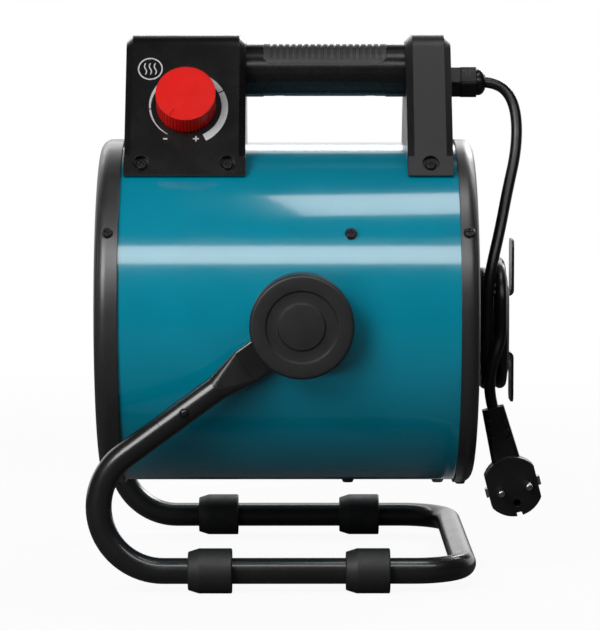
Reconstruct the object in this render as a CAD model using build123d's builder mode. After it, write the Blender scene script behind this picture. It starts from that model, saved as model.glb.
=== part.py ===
from build123d import *
from math import atan2, cos, pi, radians, sin, sqrt
import os

# Forced air heater: a round drum with a fan and heating elements, carried in a
# tilting tube stand.  Millimetres, +Z up, air leaves at -X, the lead is at +X,
# and the controls face -Y ("near").  The origin is on the floor, under the
# middle of the object measured without its lead and plug.

# ---------------------------------------------------------------- driving sizes
# clearances
fit = 0.05  # parts of one body that seat on each other
run_fit = 0.08  # a shaft in the hole it turns in
free_gap = 0.3  # parts of different bodies that pass each other

# stand
tube_d = 17.0
tube_wall = 1.5
bend_radius = 42.0  # lower front bend, on the tube's centreline
corner_radius = 34.0  # rear corners, on the tube's centreline
arm_angle = 36.2  # below the horizontal, from the pivot towards the front
bar_drop = 160.0  # pivot down to the floor bars
bar_y = 128.5  # middle of the object to each bar
crossbar_back = 107.1  # pivot back to the crossbar
arm_length = 112.3  # pivot to the joint with the lower tube
spigot_length = 30.0
paddle_width = 24.0
paddle_thick = 4.0
paddle_flat = 45.0  # pivot to where the paddle starts to round off
paddle_round = 69.0  # pivot to where the arm is a full tube
paddle_edge_share = 0.45  # of the paddle's thickness
button_back = 17.8  # joint back up the arm to the snap button
button_d = 5.5
button_proud = 2.6
button_flange_d = 7.0
button_flange_out = 2.9  # flange, from the arm's centreline
button_round = 0.6  # flat left on the button's end
leaf_thick = 0.8
leaf_width = 5.0
leaf_length = 16.0
spring_wall_gap = 1.2

# rubber foot sleeves on the bars
sleeve_d = 29.5
sleeve_length = 28.8
sleeve_taper = 7.3
sleeve_taper_rise = 2.3
sleeve_edge = 1.0
sleeve_flat = 0.5  # how far the sleeve is worn flat where it stands
front_sleeve_x = -50.1  # middles, from the drum's middle
rear_sleeve_x = 52.7

# drum
drum_d = 232.0
shell_wall = 1.0
drum_length = 253.0
ring_proud = 2.0  # end rings stand this far out of the drum
front_ring_width = 15.8
rear_ring_width = 12.5
ring_face = 3.0  # thickness of a ring's end face
ring_outer_fillet = 8.0
ring_inner_fillet = 4.0
ring_lip = 11.0  # drum's surface in to the mouth of a ring
ring_lip_fillet = 0.9
ring_seat_depth = 0.5  # flats under the ring screws' heads
bead_depth = 5.0  # inward bead at each end of the drum's shell
pivot_x_offset = 9.6  # drum's middle to the pivot

# pivots
stud_d = 8.0
stud_past_plate = 1.0
knob_d = 68.0
knob_thick = 12.0
knob_edge = 2.0
knob_groove_outer = 23.5
knob_groove_inner = 15.0
knob_groove_depth = 1.2
boss_d = 40.0
friction_washer_d = 38.0
friction_washer_thick = 1.0
boss_height = 5.5  # drum's side to the boss's outer face
nut_plate_size = 30.0
nut_plate_thick = 7.0
nut_plate_corner = 4.0

# fasteners
small_head_d = 7.2
small_head_h = 2.4
small_shank_d = 4.0
large_head_d = 8.2
large_head_h = 2.8
large_shank_d = 5.0
cross_width = 1.2
cross_share = 0.55  # length of the cross, of the head's diameter
head_taper = 30.0  # degrees
cross_depth = 1.3
ring_screw_angles = (30, 150, -90)  # above the near horizontal
front_ring_screw_inset = 8.9  # from the drum's ends
rear_ring_screw_inset = 6.9
ring_screw_length = 3.4
drum_screw_back = 12.0  # motor's front to the bracket's middle
drum_screw_length = 12.0
earth_screw_inset = 22.5  # from the drum's rear end
earth_screw_length = 7.0

# wire grilles
wire_d = 3.0
front_grille_rings = 9
rear_grille_rings = 11
grille_spokes = 4
badge_r = 13.0
grille_gap = 1.1  # outer wire to the shell
weld_share = 0.7  # crossed wires sink into each other where they are welded

# heat shield and heating elements
duct_gap = 11.0  # inside of the drum's shell to the shield
duct_wall = 0.8
duct_inset = 12.5  # from the drum's front end
duct_length = 86.0
duct_foot_width = 12.0
element_d = 8.0
element_back = 32.0  # shield's front edge to the elements
element_clear = 16.0  # shield to the outer element's middle
element_pitch = 22.0
element_gap = 40.0  # degrees left open between an element's two ends
element_leg = 22.0
element_elbow = 10.0
strip_thick = 2.0
strip_width = 20.0
strip_inner_r = 34.0
support_angles = (-30, 90, 210)  # shield feet and strips, above the near horizontal

# overheat cut-out on the shield
cutout_d = 16.0
cutout_height = 4.0
cutout_flange = (22.0, 10.0)
cutout_flange_thick = 2.0
cutout_tab = (1.0, 5.0, 3.0)
cutout_tab_x = 7.0

# fan and motor
fan_inset = 118.5  # drum's rear end forward to the fan's middle
fan_hub_d = 40.0
fan_hub_length = 24.0
fan_tip_gap = 17.0  # inside of the drum's shell to the blades' tips
fan_blades = 5
fan_hub_edge = 5.0
blade_thick = 1.6
blade_sink = 4.0  # blades' roots inside the hub
blade_root = (24.0, 45.0)  # width, and angle from the shaft
blade_tip = (38.0, 66.0)
fan_nut_flats = 13.0
fan_nut_thick = 6.0
shaft_past_fan = 8.0
shaft_d = 8.0
shaft_chamfer = 0.8
bearing_share = 0.6  # of the motor cap's length
motor_d = 72.0
motor_back = 22.0  # fan's middle to the motor's front
motor_length = 62.0
motor_cap_length = 8.0
motor_edge = 4.0
motor_slot = (12.0, 4.0)  # length and width of the cap's vents
motor_slot_r = 20.0
motor_slot_depth = 3.0
rotor_end_room = 6.0
motor_wall = 9.0
motor_end_plate = 4.0
rotor_gap = 0.6
bracket_width = 18.0
bracket_ring_thick = 2.5
bracket_arm_thick = 3.0
bracket_foot_width = 24.0
bracket_foot_thick = 4.0

# control box, rear post and handle
housing_foot_y = 70.5  # half width at the foot
housing_foot_drop = 20.6  # foot below the drum's top
housing_top_y = 20.0  # half width at the top
housing_height = 73.0  # above the drum's top
housing_wall = 3.0
housing_chamfer = 4.5
housing_top_fillet = 14.0
flange_height = 12.6
box_inset = 17.8  # from the drum's front end
box_length = 81.0
post_inset = 15.5  # from the drum's rear end
post_length = 30.4
housing_screw_up = 9.3  # up the sloped side from its foot
housing_screw_inset = 11.8  # from the box's front and rear faces
housing_pocket_d = 11.0
housing_pocket_depth = 4.0
housing_boss_d = 13.0
housing_screw_length = 8.0
handle_width = 36.0
handle_height = 36.0
handle_rise = 49.0  # drum's top to the middle of the handle
handle_chamfer = 10.5
handle_soften = 14.0
tenon_r = 8.5
lead_bore_r = 5.0
lead_bore_rise = 1.0  # above the handle's middle
inlay_thick = 2.2
inlay_front_gap = 11.7  # box to the grip's insert
inlay_rear_gap = 13.0  # insert to the post
grip_low = 5.0  # insert's lower edge above the handle's middle
grip_corner = 3.2
rib_grooves = 18
rib_front_margin = 4.7
rib_rear_margin = 5.29
rib_groove_width = 1.6
rib_groove_depth = 0.9
rib_low = 7.8  # grooves' lower ends above the handle's middle
under_high = 4.0  # lower insert's edge under the handle's middle
under_corner = 8.5
under_recess = 0.5
handle_screw_insets = (11.1, 10.4)  # from the inserts' ends
handle_screw_pocket_d = 9.0
handle_screw_pocket_depth = 1.4
handle_screw_length = 9.0
handle_screw_d = 3.0
handle_screw_head_d = 6.0
handle_screw_head_h = 1.2
handle_screw_cross = (3.2, 0.8, 0.7)
handle_screw_hole_end = 2.0

# dial and thermostat
dial_back = 41.3  # box's front to the dial
dial_up = 51.5  # up the sloped side from its foot
dial_d = 40.0
dial_height = 18.6
dial_gap = 0.6  # underside above the panel
dial_flutes = 54
dial_flute_r = 0.75
dial_edge = 1.2
dial_pointer_angle = 31.0  # from straight down, towards the front
spindle_d = 6.0
spindle_in_knob = 12.0
dial_recess_r = 8.5
dial_pointer = (5.0, 1.2, 0.8)
dial_pointer_at = 0.82  # of the dial's radius
thermostat_size = 30.0
thermostat_depth = 18.0
thermostat_bush_d = 10.0
thermostat_bush_out = 4.0
thermostat_nut_flats = 14.0
thermostat_nut_thick = 2.4
spindle_share = 0.6  # of the thermostat's depth
small_corner = 2.0

# lead, gland and plug
cord_d = 7.6
gland_drop = 8.0  # handle's middle to the gland
gland_thread_d = 16.0
gland_thread_length = 7.0
gland_across_flats = 20.0
gland_hex_length = 7.6
gland_nut_length = 10.8
gland_dome_length = 6.2
gland_dome_d = 18.0
gland_seal_d = 12.8
gland_seal_length = 11.8
gland_mouth_gap = 0.4
gland_nut_proud = 0.3  # nut over the hexagon behind it
gland_dome_share = 0.7  # of the dome's length, its rounding
terminal_length = 34.0
terminal_width = 20.0
terminal_height = 17.0
terminal_back = 50.7  # from the box's front
terminal_screw_d = 4.0
terminal_screw_inset = 4.0
terminal_screw_depth = 5.0
inner_lead_bends = (10.0, 10.0, 14.0)
inner_lead_rise = 8.0  # post's front to the lead as it rises
inner_lead_run = 12.0
wire_hole_back = 20.7  # box's front to the hole in the drum for the wires
wire_hole_r = 8.0

# cord bracket on the rear grille
bracket_strip = 1.6
bracket_strip_width = 30.0
bracket_arm_top = 12.8  # upper face of the upper arm above the drum's axis
bracket_arm_low = -28.8  # lower face of the lower arm
bracket_tip_top = 49.6
bracket_tip_low = -62.0
bracket_reach = 28.8  # drum's rear end to the outer face of the plates
bracket_bend = 3.0
bracket_screw_y = 7.0  # each side of the middle
bracket_screw_z = -16.0
bracket_screw_length = 12.0
clamp_thick = 2.0
clamp_width = 28.0
clamp_height = 14.0

# free lead: points chosen along the hanging cord, x behind the drum's rear end
lead_drop = (  # z from the gland
    (5.1, 0.0, 0.0),
    (15.0, 0.0, 0.0),
    (25.8, -1.0, -7.2),
    (30.9, -4.0, -23.0),
    (30.1, -10.0, -47.0),
)
lead_run = (  # z from the drum's axis
    (23.7, -19.0, 84.0),
    (18.1, -30.0, 58.0),
    (11.9, -39.0, 34.0),
    (9.0, -41.7, 18.0),
    (9.0, -41.7, 5.0),
)
tail_run = (
    (18.1, -45.75, -3.0),
    (18.1, -45.75, -14.0),
    (13.9, -49.2, -26.4),
    (10.1, -50.4, -39.6),
    (10.1, -50.0, -53.0),
    (12.3, -50.0, -61.7),
)
arc_share = 0.45  # of the shorter run that each arc of the lead takes

# coil round the bracket's two arms: columns of cord joined over and under them
coil_turns = 5  # two layers of half turns, in and out again
coil_flat = 31.0  # straight part over each arm
coil_inner_bend = 10.0
coil_step = 4.05  # each half turn outwards
coil_top_z = 5.0  # where the upper bends begin
coil_low_z = -25.0
coil_climb_rise = 2.85  # the climb to the rear layer bends this much higher
coil_front_layer = 9.0  # layers behind the drum's rear end
coil_rear_layer = 21.5
coil_rear_fan = 0.68  # rear layer leans forward by this for each half turn

# plug, seen from its pins
plug_r = 20.0
plug_flat = 16.8  # centre to the flats at its sides
plug_front = 12.0  # front face, from the middle of the cord's handle
plug_back = 7.0
plug_handle_top = (15.0, 12.0)  # width and depth at the cord
plug_handle_low = (20.0, 14.0)
plug_pin_d = 4.8
plug_pin_pitch = 19.0
plug_pin_length = 19.0
plug_reach = 54.0  # cord's entry to the plug's middle
earth_hole_d = 4.8
earth_hole_down = 11.0
plug_notch = (3.8, 2.5)
earth_clip = (2.0, 6.0, 8.0)
earth_clip_back = 9.0
earth_hole_depth = 14.0
plug_edge = 3.0
plug_handle_corner = 3.5
plug_pin_tip = 1.6
plug_grooves = {1: (0.38, 0.56, 0.74), -1: (0.47, 0.65, 0.83)}  # each side, shares up the handle
plug_groove = (7.0, 1.4, 2.2)
plug_groove_x = 6.5
plug_groove_lean = 12.0

# ------------------------------------------------------------- worked-out places
tube_r = tube_d / 2
cord_r = cord_d / 2
drum_r = drum_d / 2
ring_r = drum_r + ring_proud
half_length = drum_length / 2
shell_bore_r = drum_r - shell_wall
ring_mouth_r = drum_r - ring_lip
front_ring_screw_x = front_ring_screw_inset - half_length
rear_ring_screw_x = half_length - rear_ring_screw_inset
earth_screw_x = half_length - earth_screw_inset
duct_r = shell_bore_r - duct_gap
duct_front_x = duct_inset - half_length
duct_rear_x = duct_front_x + duct_length
element_x = duct_front_x + element_back
element_radii = [duct_r - element_clear - element_pitch * i for i in (2, 1, 0)]
fan_r = shell_bore_r - fan_tip_gap
fan_x = half_length - fan_inset
motor_front_x = fan_x + motor_back
drum_screw_x = motor_front_x + drum_screw_back
box_front_x = box_inset - half_length
box_rear_x = box_front_x + box_length
post_rear_x = half_length - post_inset
post_front_x = post_rear_x - post_length
housing_foot_z = drum_r - housing_foot_drop
housing_top_z = drum_r + housing_height
flange_top_z = housing_foot_z + flange_height
handle_z = drum_r + handle_rise
lead_z = handle_z + lead_bore_rise
inlay_front_x = box_rear_x + inlay_front_gap
inlay_rear_x = post_front_x - inlay_rear_gap
grip_low_z = handle_z + grip_low
rib_first_x = inlay_front_x + rib_front_margin
rib_pitch = (inlay_rear_x - rib_rear_margin - rib_first_x) / (rib_grooves - 1)
rib_low_z = handle_z + rib_low
under_high_z = handle_z - under_high
handle_screw_x = (inlay_front_x + handle_screw_insets[0], inlay_rear_x - handle_screw_insets[1])
dial_x = box_front_x + dial_back
gland_z = handle_z - gland_drop
terminal_x = box_front_x + terminal_back
wire_hole_x = box_front_x + wire_hole_back
bracket_tip_x = half_length + bracket_reach
coil_front_layer_x = half_length + coil_front_layer
coil_rear_layer_x = half_length + coil_rear_layer
lead_points = [(half_length + x, y, gland_z + z) for x, y, z in lead_drop]
lead_points += [(half_length + x, y, z) for x, y, z in lead_run]
tail_points = [(half_length + x, y, z) for x, y, z in tail_run]
button_at = arm_length - button_back
arm_tilt = radians(arm_angle)
axis_z = sleeve_d / 2 - sleeve_flat + bar_drop
bend_back_x = (bend_radius - (bar_drop - bend_radius) * cos(arm_tilt)) / sin(arm_tilt)
front_reach = bend_radius + tube_r - bend_back_x
rear_reach = bracket_tip_x - pivot_x_offset
pivot_x = (front_reach - rear_reach) / 2
drum_x = pivot_x - pivot_x_offset
drum_axis = Axis((drum_x, 0, axis_z), (1, 0, 0))

paddle_inner_y = drum_r + boss_height + friction_washer_thick
paddle_outer_y = paddle_inner_y + paddle_thick
knob_inner_y = paddle_outer_y + free_gap


# --------------------------------------------------------------------- helpers
def across(x):
    """Plane square to the drum's axis, x from the drum's middle; its x is +Y."""
    return Plane(origin=(drum_x + x, 0, axis_z), x_dir=(0, 1, 0), z_dir=(1, 0, 0))


def along(y=0.0):
    """Upright plane along the drum, seen from the near side."""
    return Plane(origin=(drum_x, y, axis_z), x_dir=(1, 0, 0), z_dir=(0, -1, 0))


def radial(x, angle, radius):
    """Plane on a circle round the drum's axis, facing out."""
    out = Vector(0, -cos(radians(angle)), sin(radians(angle)))
    return Plane(origin=Vector(drum_x + x, 0, axis_z) + out * radius, x_dir=(1, 0, 0), z_dir=out)


def place(x, y, z):
    """Point given from the drum's middle."""
    return Vector(drum_x + x, y, axis_z + z)


def arm_point(distance, y):
    """Point on the near or far arm's line, at a distance from the pivot."""
    return Vector(pivot_x - distance * cos(arm_tilt), y, axis_z - distance * sin(arm_tilt))


def arm_plane(distance, y):
    """Plane square to an arm; its y is +Y."""
    return Plane(
        origin=arm_point(distance, y),
        x_dir=(-sin(arm_tilt), 0, cos(arm_tilt)),
        z_dir=(-cos(arm_tilt), 0, -sin(arm_tilt)),
    )


def far_twin(part):
    """The same part on the far side."""
    with BuildPart() as twin:
        mirror(part, about=Plane.XZ)
    return twin.part


def finish(part, name):
    """Label a finished piece and write it."""
    part.label = name
    export_step(part, f"parts/{name}.step")


def pan_screws(planes, head_d, head_h, shank_d, shank_length):
    """Pan head screws, one for each seat plane that faces away from its hole."""
    with BuildPart() as screws:
        for seat in planes:
            with BuildSketch(seat):
                Circle(shank_d / 2)
            extrude(amount=-shank_length)
            with BuildSketch(seat):
                Circle(head_d / 2)
            extrude(amount=head_h / 2)
            with BuildSketch(seat.offset(head_h / 2)):
                Circle(head_d / 2)
            extrude(amount=head_h / 2, taper=head_taper)
            with BuildSketch(seat.offset(head_h)):
                Rectangle(head_d * cross_share, cross_width)
                Rectangle(cross_width, head_d * cross_share)
            extrude(amount=-cross_depth, mode=Mode.SUBTRACT)
    return screws.part


os.makedirs("parts", exist_ok=True)

# ------------------------------------------------------------------- the stand
bar_z = axis_z - bar_drop
corner_distance = bar_drop / sin(arm_tilt)
crossbar_x = pivot_x + crossbar_back
near_corner = arm_point(corner_distance, -bar_y)
far_corner = arm_point(corner_distance, bar_y)

with BuildPart() as stand_tube:
    with BuildLine() as frame_line:
        FilletPolyline(
            arm_point(arm_length, -bar_y),
            near_corner,
            (crossbar_x, -bar_y, bar_z),
            (crossbar_x, bar_y, bar_z),
            far_corner,
            arm_point(arm_length, bar_y),
            radius=[bend_radius, corner_radius, corner_radius, bend_radius],
        )
    with BuildSketch(arm_plane(arm_length, -bar_y)):
        Circle(tube_r)
        Circle(tube_r - tube_wall, mode=Mode.SUBTRACT)
    sweep(path=frame_line.line)
    for side in (-1, 1):
        # swaged end: a spigot that enters the arm, with a shoulder behind it
        with BuildSketch(arm_plane(arm_length, side * bar_y)):
            Circle(tube_r)
            Circle(tube_r - 2 * tube_wall, mode=Mode.SUBTRACT)
        extrude(amount=2 * tube_wall)
        with BuildSketch(arm_plane(arm_length, side * bar_y)):
            Circle(tube_r - tube_wall - fit)
            Circle(tube_r - 2 * tube_wall, mode=Mode.SUBTRACT)
        extrude(amount=-spigot_length)
        with BuildSketch(Plane(origin=arm_point(button_at, side * bar_y), z_dir=(0, side, 0))):
            Circle(button_d / 2 + run_fit)
        extrude(amount=tube_d, mode=Mode.SUBTRACT)
finish(stand_tube.part, "stand_tube")

with BuildPart() as arm_near:
    with BuildSketch(arm_plane(paddle_round, -bar_y)):
        Circle(tube_r)
        Circle(tube_r - tube_wall, mode=Mode.SUBTRACT)
    extrude(amount=arm_length - paddle_round)
    paddle_mid_y = -(paddle_inner_y + paddle_outer_y) / 2
    with BuildSketch(arm_plane(paddle_round, -bar_y)):
        RectangleRounded(tube_d, tube_d, tube_r - 0.1)
    with BuildSketch(arm_plane(paddle_flat, paddle_mid_y)):
        RectangleRounded(paddle_width, paddle_thick, paddle_thick * paddle_edge_share)
    loft()
    with BuildSketch(arm_plane(0, paddle_mid_y)):
        RectangleRounded(paddle_width, paddle_thick, paddle_thick * paddle_edge_share)
    extrude(amount=paddle_flat)
    with BuildSketch(Plane(origin=arm_point(0, paddle_mid_y), z_dir=(0, -1, 0))):
        Circle(paddle_width / 2)
    extrude(amount=paddle_thick / 2, both=True)
    with BuildSketch(Plane(origin=arm_point(0, paddle_mid_y), z_dir=(0, -1, 0))):
        Circle(stud_d / 2 + run_fit)
    extrude(amount=paddle_thick, both=True, mode=Mode.SUBTRACT)
    with BuildSketch(Plane(origin=arm_point(button_at, -bar_y), z_dir=(0, -1, 0))):
        Circle(button_d / 2 + run_fit)
    extrude(amount=tube_d, mode=Mode.SUBTRACT)
finish(arm_near.part, "arm_near")
finish(far_twin(arm_near.part), "arm_far")

# snap button: a pin riveted to the moving leaf of a V spring in the spigot
leaf_x = Vector(-sin(arm_tilt), 0, cos(arm_tilt))


def button_plane(out):
    """Plane that faces the near side, at a height out from the arm's centreline."""
    return Plane(origin=arm_point(button_at, -bar_y - out), x_dir=leaf_x, z_dir=(0, -1, 0))


with BuildPart() as button_near:
    with BuildSketch(button_plane(button_flange_out)):
        Circle(button_flange_d / 2)
    extrude(amount=leaf_thick)
    with BuildSketch(button_plane(button_flange_out)):
        Circle(button_d / 2)
    extrude(amount=tube_r + button_proud - button_flange_out)
    tip = button_near.faces().sort_by(Axis.Y)[0]
    fillet(tip.edges(), radius=button_d / 2 - button_round)
    with BuildSketch(button_plane(button_flange_out)):
        with Locations((0, leaf_length / 2 - leaf_width / 2)):
            Rectangle(leaf_width, leaf_length)
    extrude(amount=-leaf_thick)
finish(button_near.part, "button_near")
finish(far_twin(button_near.part), "button_far")

# fixed leaf of the V spring, against the far side of the spigot's bore
rest_out = -(tube_r - 2 * tube_wall - spring_wall_gap)
fixed_leaf_end = leaf_length - leaf_width / 2 + fit + leaf_thick
with BuildPart() as springs:
    with BuildSketch(button_plane(rest_out)):
        with Locations((0, fixed_leaf_end / 2)):
            Rectangle(leaf_width, fixed_leaf_end)
    extrude(amount=leaf_thick)
    with BuildSketch(button_plane(rest_out)):
        with Locations((0, fixed_leaf_end - leaf_thick / 2)):
            Rectangle(leaf_width, leaf_thick)
    extrude(amount=button_flange_out - rest_out)
    mirror(about=Plane.XZ)
finish(springs.part, "snap_springs")

sleeve_r = sleeve_d / 2
for label, middle, side in (
    ("foot_front_near", front_sleeve_x, -1),
    ("foot_front_far", front_sleeve_x, 1),
    ("foot_rear_near", rear_sleeve_x, -1),
    ("foot_rear_far", rear_sleeve_x, 1),
):
    start = drum_x + middle - sleeve_length / 2
    end = start + sleeve_length
    bar = Plane(origin=(0, side * bar_y, bar_z), x_dir=(1, 0, 0), z_dir=(0, -1, 0))
    with BuildPart() as foot:
        with BuildSketch(bar) as half_section:
            with BuildLine():
                Polyline(
                    (start, tube_r + fit),
                    (start, sleeve_r - sleeve_taper_rise),
                    (start + sleeve_taper, sleeve_r),
                    (end, sleeve_r),
                    (end, tube_r + fit),
                    close=True,
                )
            make_face()
            outer = half_section.vertices().filter_by(lambda v: v.Y > tube_r + 1)
            fillet(outer, radius=sleeve_edge)
        revolve(axis=Axis((0, side * bar_y, bar_z), (1, 0, 0)))
        split(bisect_by=Plane.XY, keep=Keep.TOP)
    finish(foot.part, label)

# -------------------------------------------------------------------- the drum
shell_end = half_length - ring_face - 0.2  # the bead lies just behind a ring's face
ring_screw_xs = (front_ring_screw_x, rear_ring_screw_x)
seat_angles = [(x, angle) for x in ring_screw_xs for angle in ring_screw_angles]
foot_slope = atan2(housing_foot_y - housing_top_y, housing_top_z - housing_foot_z)
housing_screw_spots = [
    (side, x)
    for side in (-1, 1)
    for x in (
        box_front_x + housing_screw_inset,
        box_rear_x - housing_screw_inset,
        (post_front_x + post_rear_x) / 2,
    )
]


def panel(side, x, up, depth=0.0):
    """Plane on a housing's sloped side, facing out, up the slope from its foot."""
    out = Vector(0, side * cos(foot_slope), sin(foot_slope))
    rise = Vector(0, -side * sin(foot_slope), cos(foot_slope))
    foot = place(x, side * housing_foot_y, housing_foot_z)
    across_dir = Vector(-side, 0, 0)
    return Plane(origin=foot + rise * up - out * depth, x_dir=across_dir, z_dir=out)


def pivot_plane(side, y):
    """Plane at a pivot, facing out on its side, y from the middle."""
    return Plane(origin=(pivot_x, side * y, axis_z), x_dir=(-side, 0, 0), z_dir=(0, side, 0))


with BuildPart() as shell:
    with BuildSketch(along()):
        with BuildLine():
            Polyline(
                (-shell_end, drum_r - bead_depth),
                (-shell_end, drum_r),
                (shell_end, drum_r),
                (shell_end, drum_r - bead_depth),
                (shell_end - shell_wall, drum_r - bead_depth),
                (shell_end - shell_wall, drum_r - shell_wall),
                (shell_wall - shell_end, drum_r - shell_wall),
                (shell_wall - shell_end, drum_r - bead_depth),
                close=True,
            )
        make_face()
    revolve(axis=drum_axis)
    for x, angle in seat_angles:
        with BuildSketch(radial(x, angle, drum_r + 1)):
            Circle(small_shank_d / 2 + fit)
        extrude(amount=-bead_depth, mode=Mode.SUBTRACT)
    for angle in ring_screw_angles:
        with BuildSketch(radial(drum_screw_x, angle, drum_r + 1)):
            Circle(large_shank_d / 2 + fit)
        extrude(amount=-bead_depth, mode=Mode.SUBTRACT)
    with BuildSketch(radial(earth_screw_x, -90, drum_r + 1)):
        Circle(large_shank_d / 2 + fit)
    extrude(amount=-bead_depth, mode=Mode.SUBTRACT)
    for side, x in housing_screw_spots:
        with BuildSketch(panel(side, x, housing_screw_up)):
            Circle(small_shank_d / 2 + fit)
        extrude(amount=-housing_boss_d * 2, mode=Mode.SUBTRACT)
    for side in (-1, 1):
        with BuildSketch(pivot_plane(side, drum_r + 1)):
            Circle(stud_d / 2 + run_fit)
        extrude(amount=-bead_depth, mode=Mode.SUBTRACT)
    with BuildSketch(radial(wire_hole_x, 90, drum_r + 1)):
        Circle(wire_hole_r)
    extrude(amount=-bead_depth, mode=Mode.SUBTRACT)
finish(shell.part, "drum_shell")


def end_ring(width, side):
    """Moulded ring that closes an end of the drum; side is -1 in front, 1 behind."""
    seam = side * (half_length - width)
    end = side * half_length
    face = side * (half_length - ring_face)
    bore = drum_r + fit
    screw_x = front_ring_screw_x if side < 0 else rear_ring_screw_x
    with BuildPart() as ring:
        with BuildSketch(along()) as section:
            with BuildLine():
                Polyline(
                    (seam, bore),
                    (seam, ring_r),
                    (end, ring_r),
                    (end, ring_mouth_r),
                    (face, ring_mouth_r),
                    (face, bore),
                    close=True,
                )
            make_face()
            corners = section.vertices()
            outer = corners.filter_by(lambda v: abs(v.Y - ring_r) < 0.01)
            fillet(outer.sort_by(Axis.X)[0 if side < 0 else -1], radius=ring_outer_fillet)
            inner = corners.filter_by(lambda v: abs(v.Y - bore) < 0.01)
            fillet(inner.sort_by(Axis.X)[0 if side < 0 else -1], radius=ring_inner_fillet)
            lip = corners.filter_by(lambda v: abs(v.Y - ring_mouth_r) < 0.01)
            fillet(lip, radius=ring_lip_fillet)
        revolve(axis=drum_axis)
        for angle in ring_screw_angles:
            with BuildSketch(radial(screw_x, angle, ring_r + 1)):
                Circle(small_shank_d / 2 + fit)
            extrude(amount=-ring_proud * 3, mode=Mode.SUBTRACT)
            # flat seat under the head
            with BuildSketch(radial(screw_x, angle, ring_r - ring_seat_depth)):
                Circle(small_head_d / 2 + free_gap)
            extrude(amount=ring_proud, mode=Mode.SUBTRACT)
    return ring.part


finish(end_ring(front_ring_width, -1), "front_ring")
finish(end_ring(rear_ring_width, 1), "rear_ring")

ring_seats = [radial(x, angle, ring_r - ring_seat_depth) for x, angle in seat_angles]
finish(
    pan_screws(ring_seats, small_head_d, small_head_h, small_shank_d, ring_screw_length),
    "ring_screws",
)
drum_seats = [radial(drum_screw_x, angle, drum_r) for angle in ring_screw_angles]
finish(
    pan_screws(drum_seats, large_head_d, large_head_h, large_shank_d, drum_screw_length),
    "drum_screws",
)
earth_seat = [radial(earth_screw_x, -90, drum_r)]
finish(
    pan_screws(earth_seat, large_head_d, large_head_h, large_shank_d, earth_screw_length),
    "earth_screw",
)


def grille(rings):
    """Welded wire grille at the rear end, its outer wire against the shell's bead."""
    wire_r = wire_d / 2
    outer_r = shell_bore_r - wire_r - grille_gap
    x = shell_end - shell_wall - wire_r - fit
    spoke_x = x - wire_d * weld_share
    pitch = (outer_r - badge_r) / rings
    with BuildPart() as wires:
        for i in range(rings):
            with BuildSketch(along()):
                with Locations((x, outer_r - i * pitch)):
                    Circle(wire_r)
            revolve(axis=drum_axis)
        for i in range(grille_spokes):
            turn = radians(180 / grille_spokes * i)
            lay = Vector(0, cos(turn), sin(turn))
            start = place(spoke_x, 0, 0) - lay * outer_r
            with BuildSketch(Plane(origin=start, z_dir=lay)):
                Circle(wire_r)
            extrude(amount=2 * outer_r)
        with BuildSketch(across(x - wire_r)):
            Circle(badge_r)
        extrude(amount=wire_d)
    return wires.part


with BuildPart() as front_grille:
    mirror(grille(front_grille_rings), about=Plane.YZ.offset(drum_x))
finish(front_grille.part, "front_grille")
finish(grille(rear_grille_rings), "rear_grille")

# ------------------------------------------------- heat shield and the elements
with BuildPart() as duct:
    with BuildSketch(across(duct_front_x)):
        Circle(duct_r)
        Circle(duct_r - duct_wall, mode=Mode.SUBTRACT)
    extrude(amount=duct_rear_x - duct_front_x)
    for x in (duct_front_x + duct_foot_width, duct_rear_x - duct_foot_width):
        for angle in support_angles:
            with BuildSketch(radial(x, angle, duct_r - duct_wall / 2)):
                Rectangle(duct_foot_width, duct_wall * 2)
            extrude(amount=duct_gap + duct_wall / 2 - fit)
finish(duct.part, "heat_shield")


def element(radius):
    """Tubular heating element: an open hoop with both ends turned to the rear."""
    rod_r = element_d / 2
    hoop = 360 - element_gap
    with BuildPart() as rod:
        for end in (-1, 1):
            angle = -90 + end * element_gap / 2
            away = Vector(0, -cos(radians(angle)), sin(radians(angle)))
            turn = Vector(0, sin(radians(angle)), cos(radians(angle))) * -end
            at = place(element_x, 0, 0) + away * radius
            back = Vector(1, 0, 0)
            with BuildSketch(Plane(origin=at, x_dir=away, z_dir=turn)):
                Circle(rod_r)
            revolve(axis=Axis(at + back * element_elbow, away * end), revolution_arc=90)
            leg_start = at + back * element_elbow + turn * element_elbow
            with BuildSketch(Plane(origin=leg_start, x_dir=away, z_dir=back)):
                Circle(rod_r)
            extrude(amount=element_leg)
        first = -90 + element_gap / 2
        away = Vector(0, -cos(radians(first)), sin(radians(first)))
        along_hoop = Vector(0, sin(radians(first)), cos(radians(first)))
        at = place(element_x, 0, 0) + away * radius
        with BuildSketch(Plane(origin=at, x_dir=away, z_dir=along_hoop)):
            Circle(rod_r)
        revolve(axis=Axis(drum_axis.position, (-1, 0, 0)), revolution_arc=hoop)
    return rod.part


for label, radius in zip(("element_inner", "element_middle", "element_outer"), element_radii):
    finish(element(radius), label)

# notched strips that carry the elements inside the heat shield
with BuildPart() as strips:
    for angle in support_angles:
        out = Vector(0, -cos(radians(angle)), sin(radians(angle)))
        side_dir = Vector(0, sin(radians(angle)), cos(radians(angle)))
        reach = duct_r - duct_wall - fit
        middle = (strip_inner_r + reach) / 2
        at = place(element_x, 0, 0) + out * middle
        with BuildSketch(Plane(origin=at, x_dir=out, z_dir=side_dir)):
            Rectangle(reach - strip_inner_r, strip_width)
        extrude(amount=strip_thick / 2, both=True)
    for radius in element_radii:
        with BuildSketch(along()):
            with Locations((element_x, radius)):
                Circle(element_d / 2 + fit)
        revolve(axis=drum_axis, mode=Mode.SUBTRACT)
finish(strips.part, "element_strips")

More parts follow.
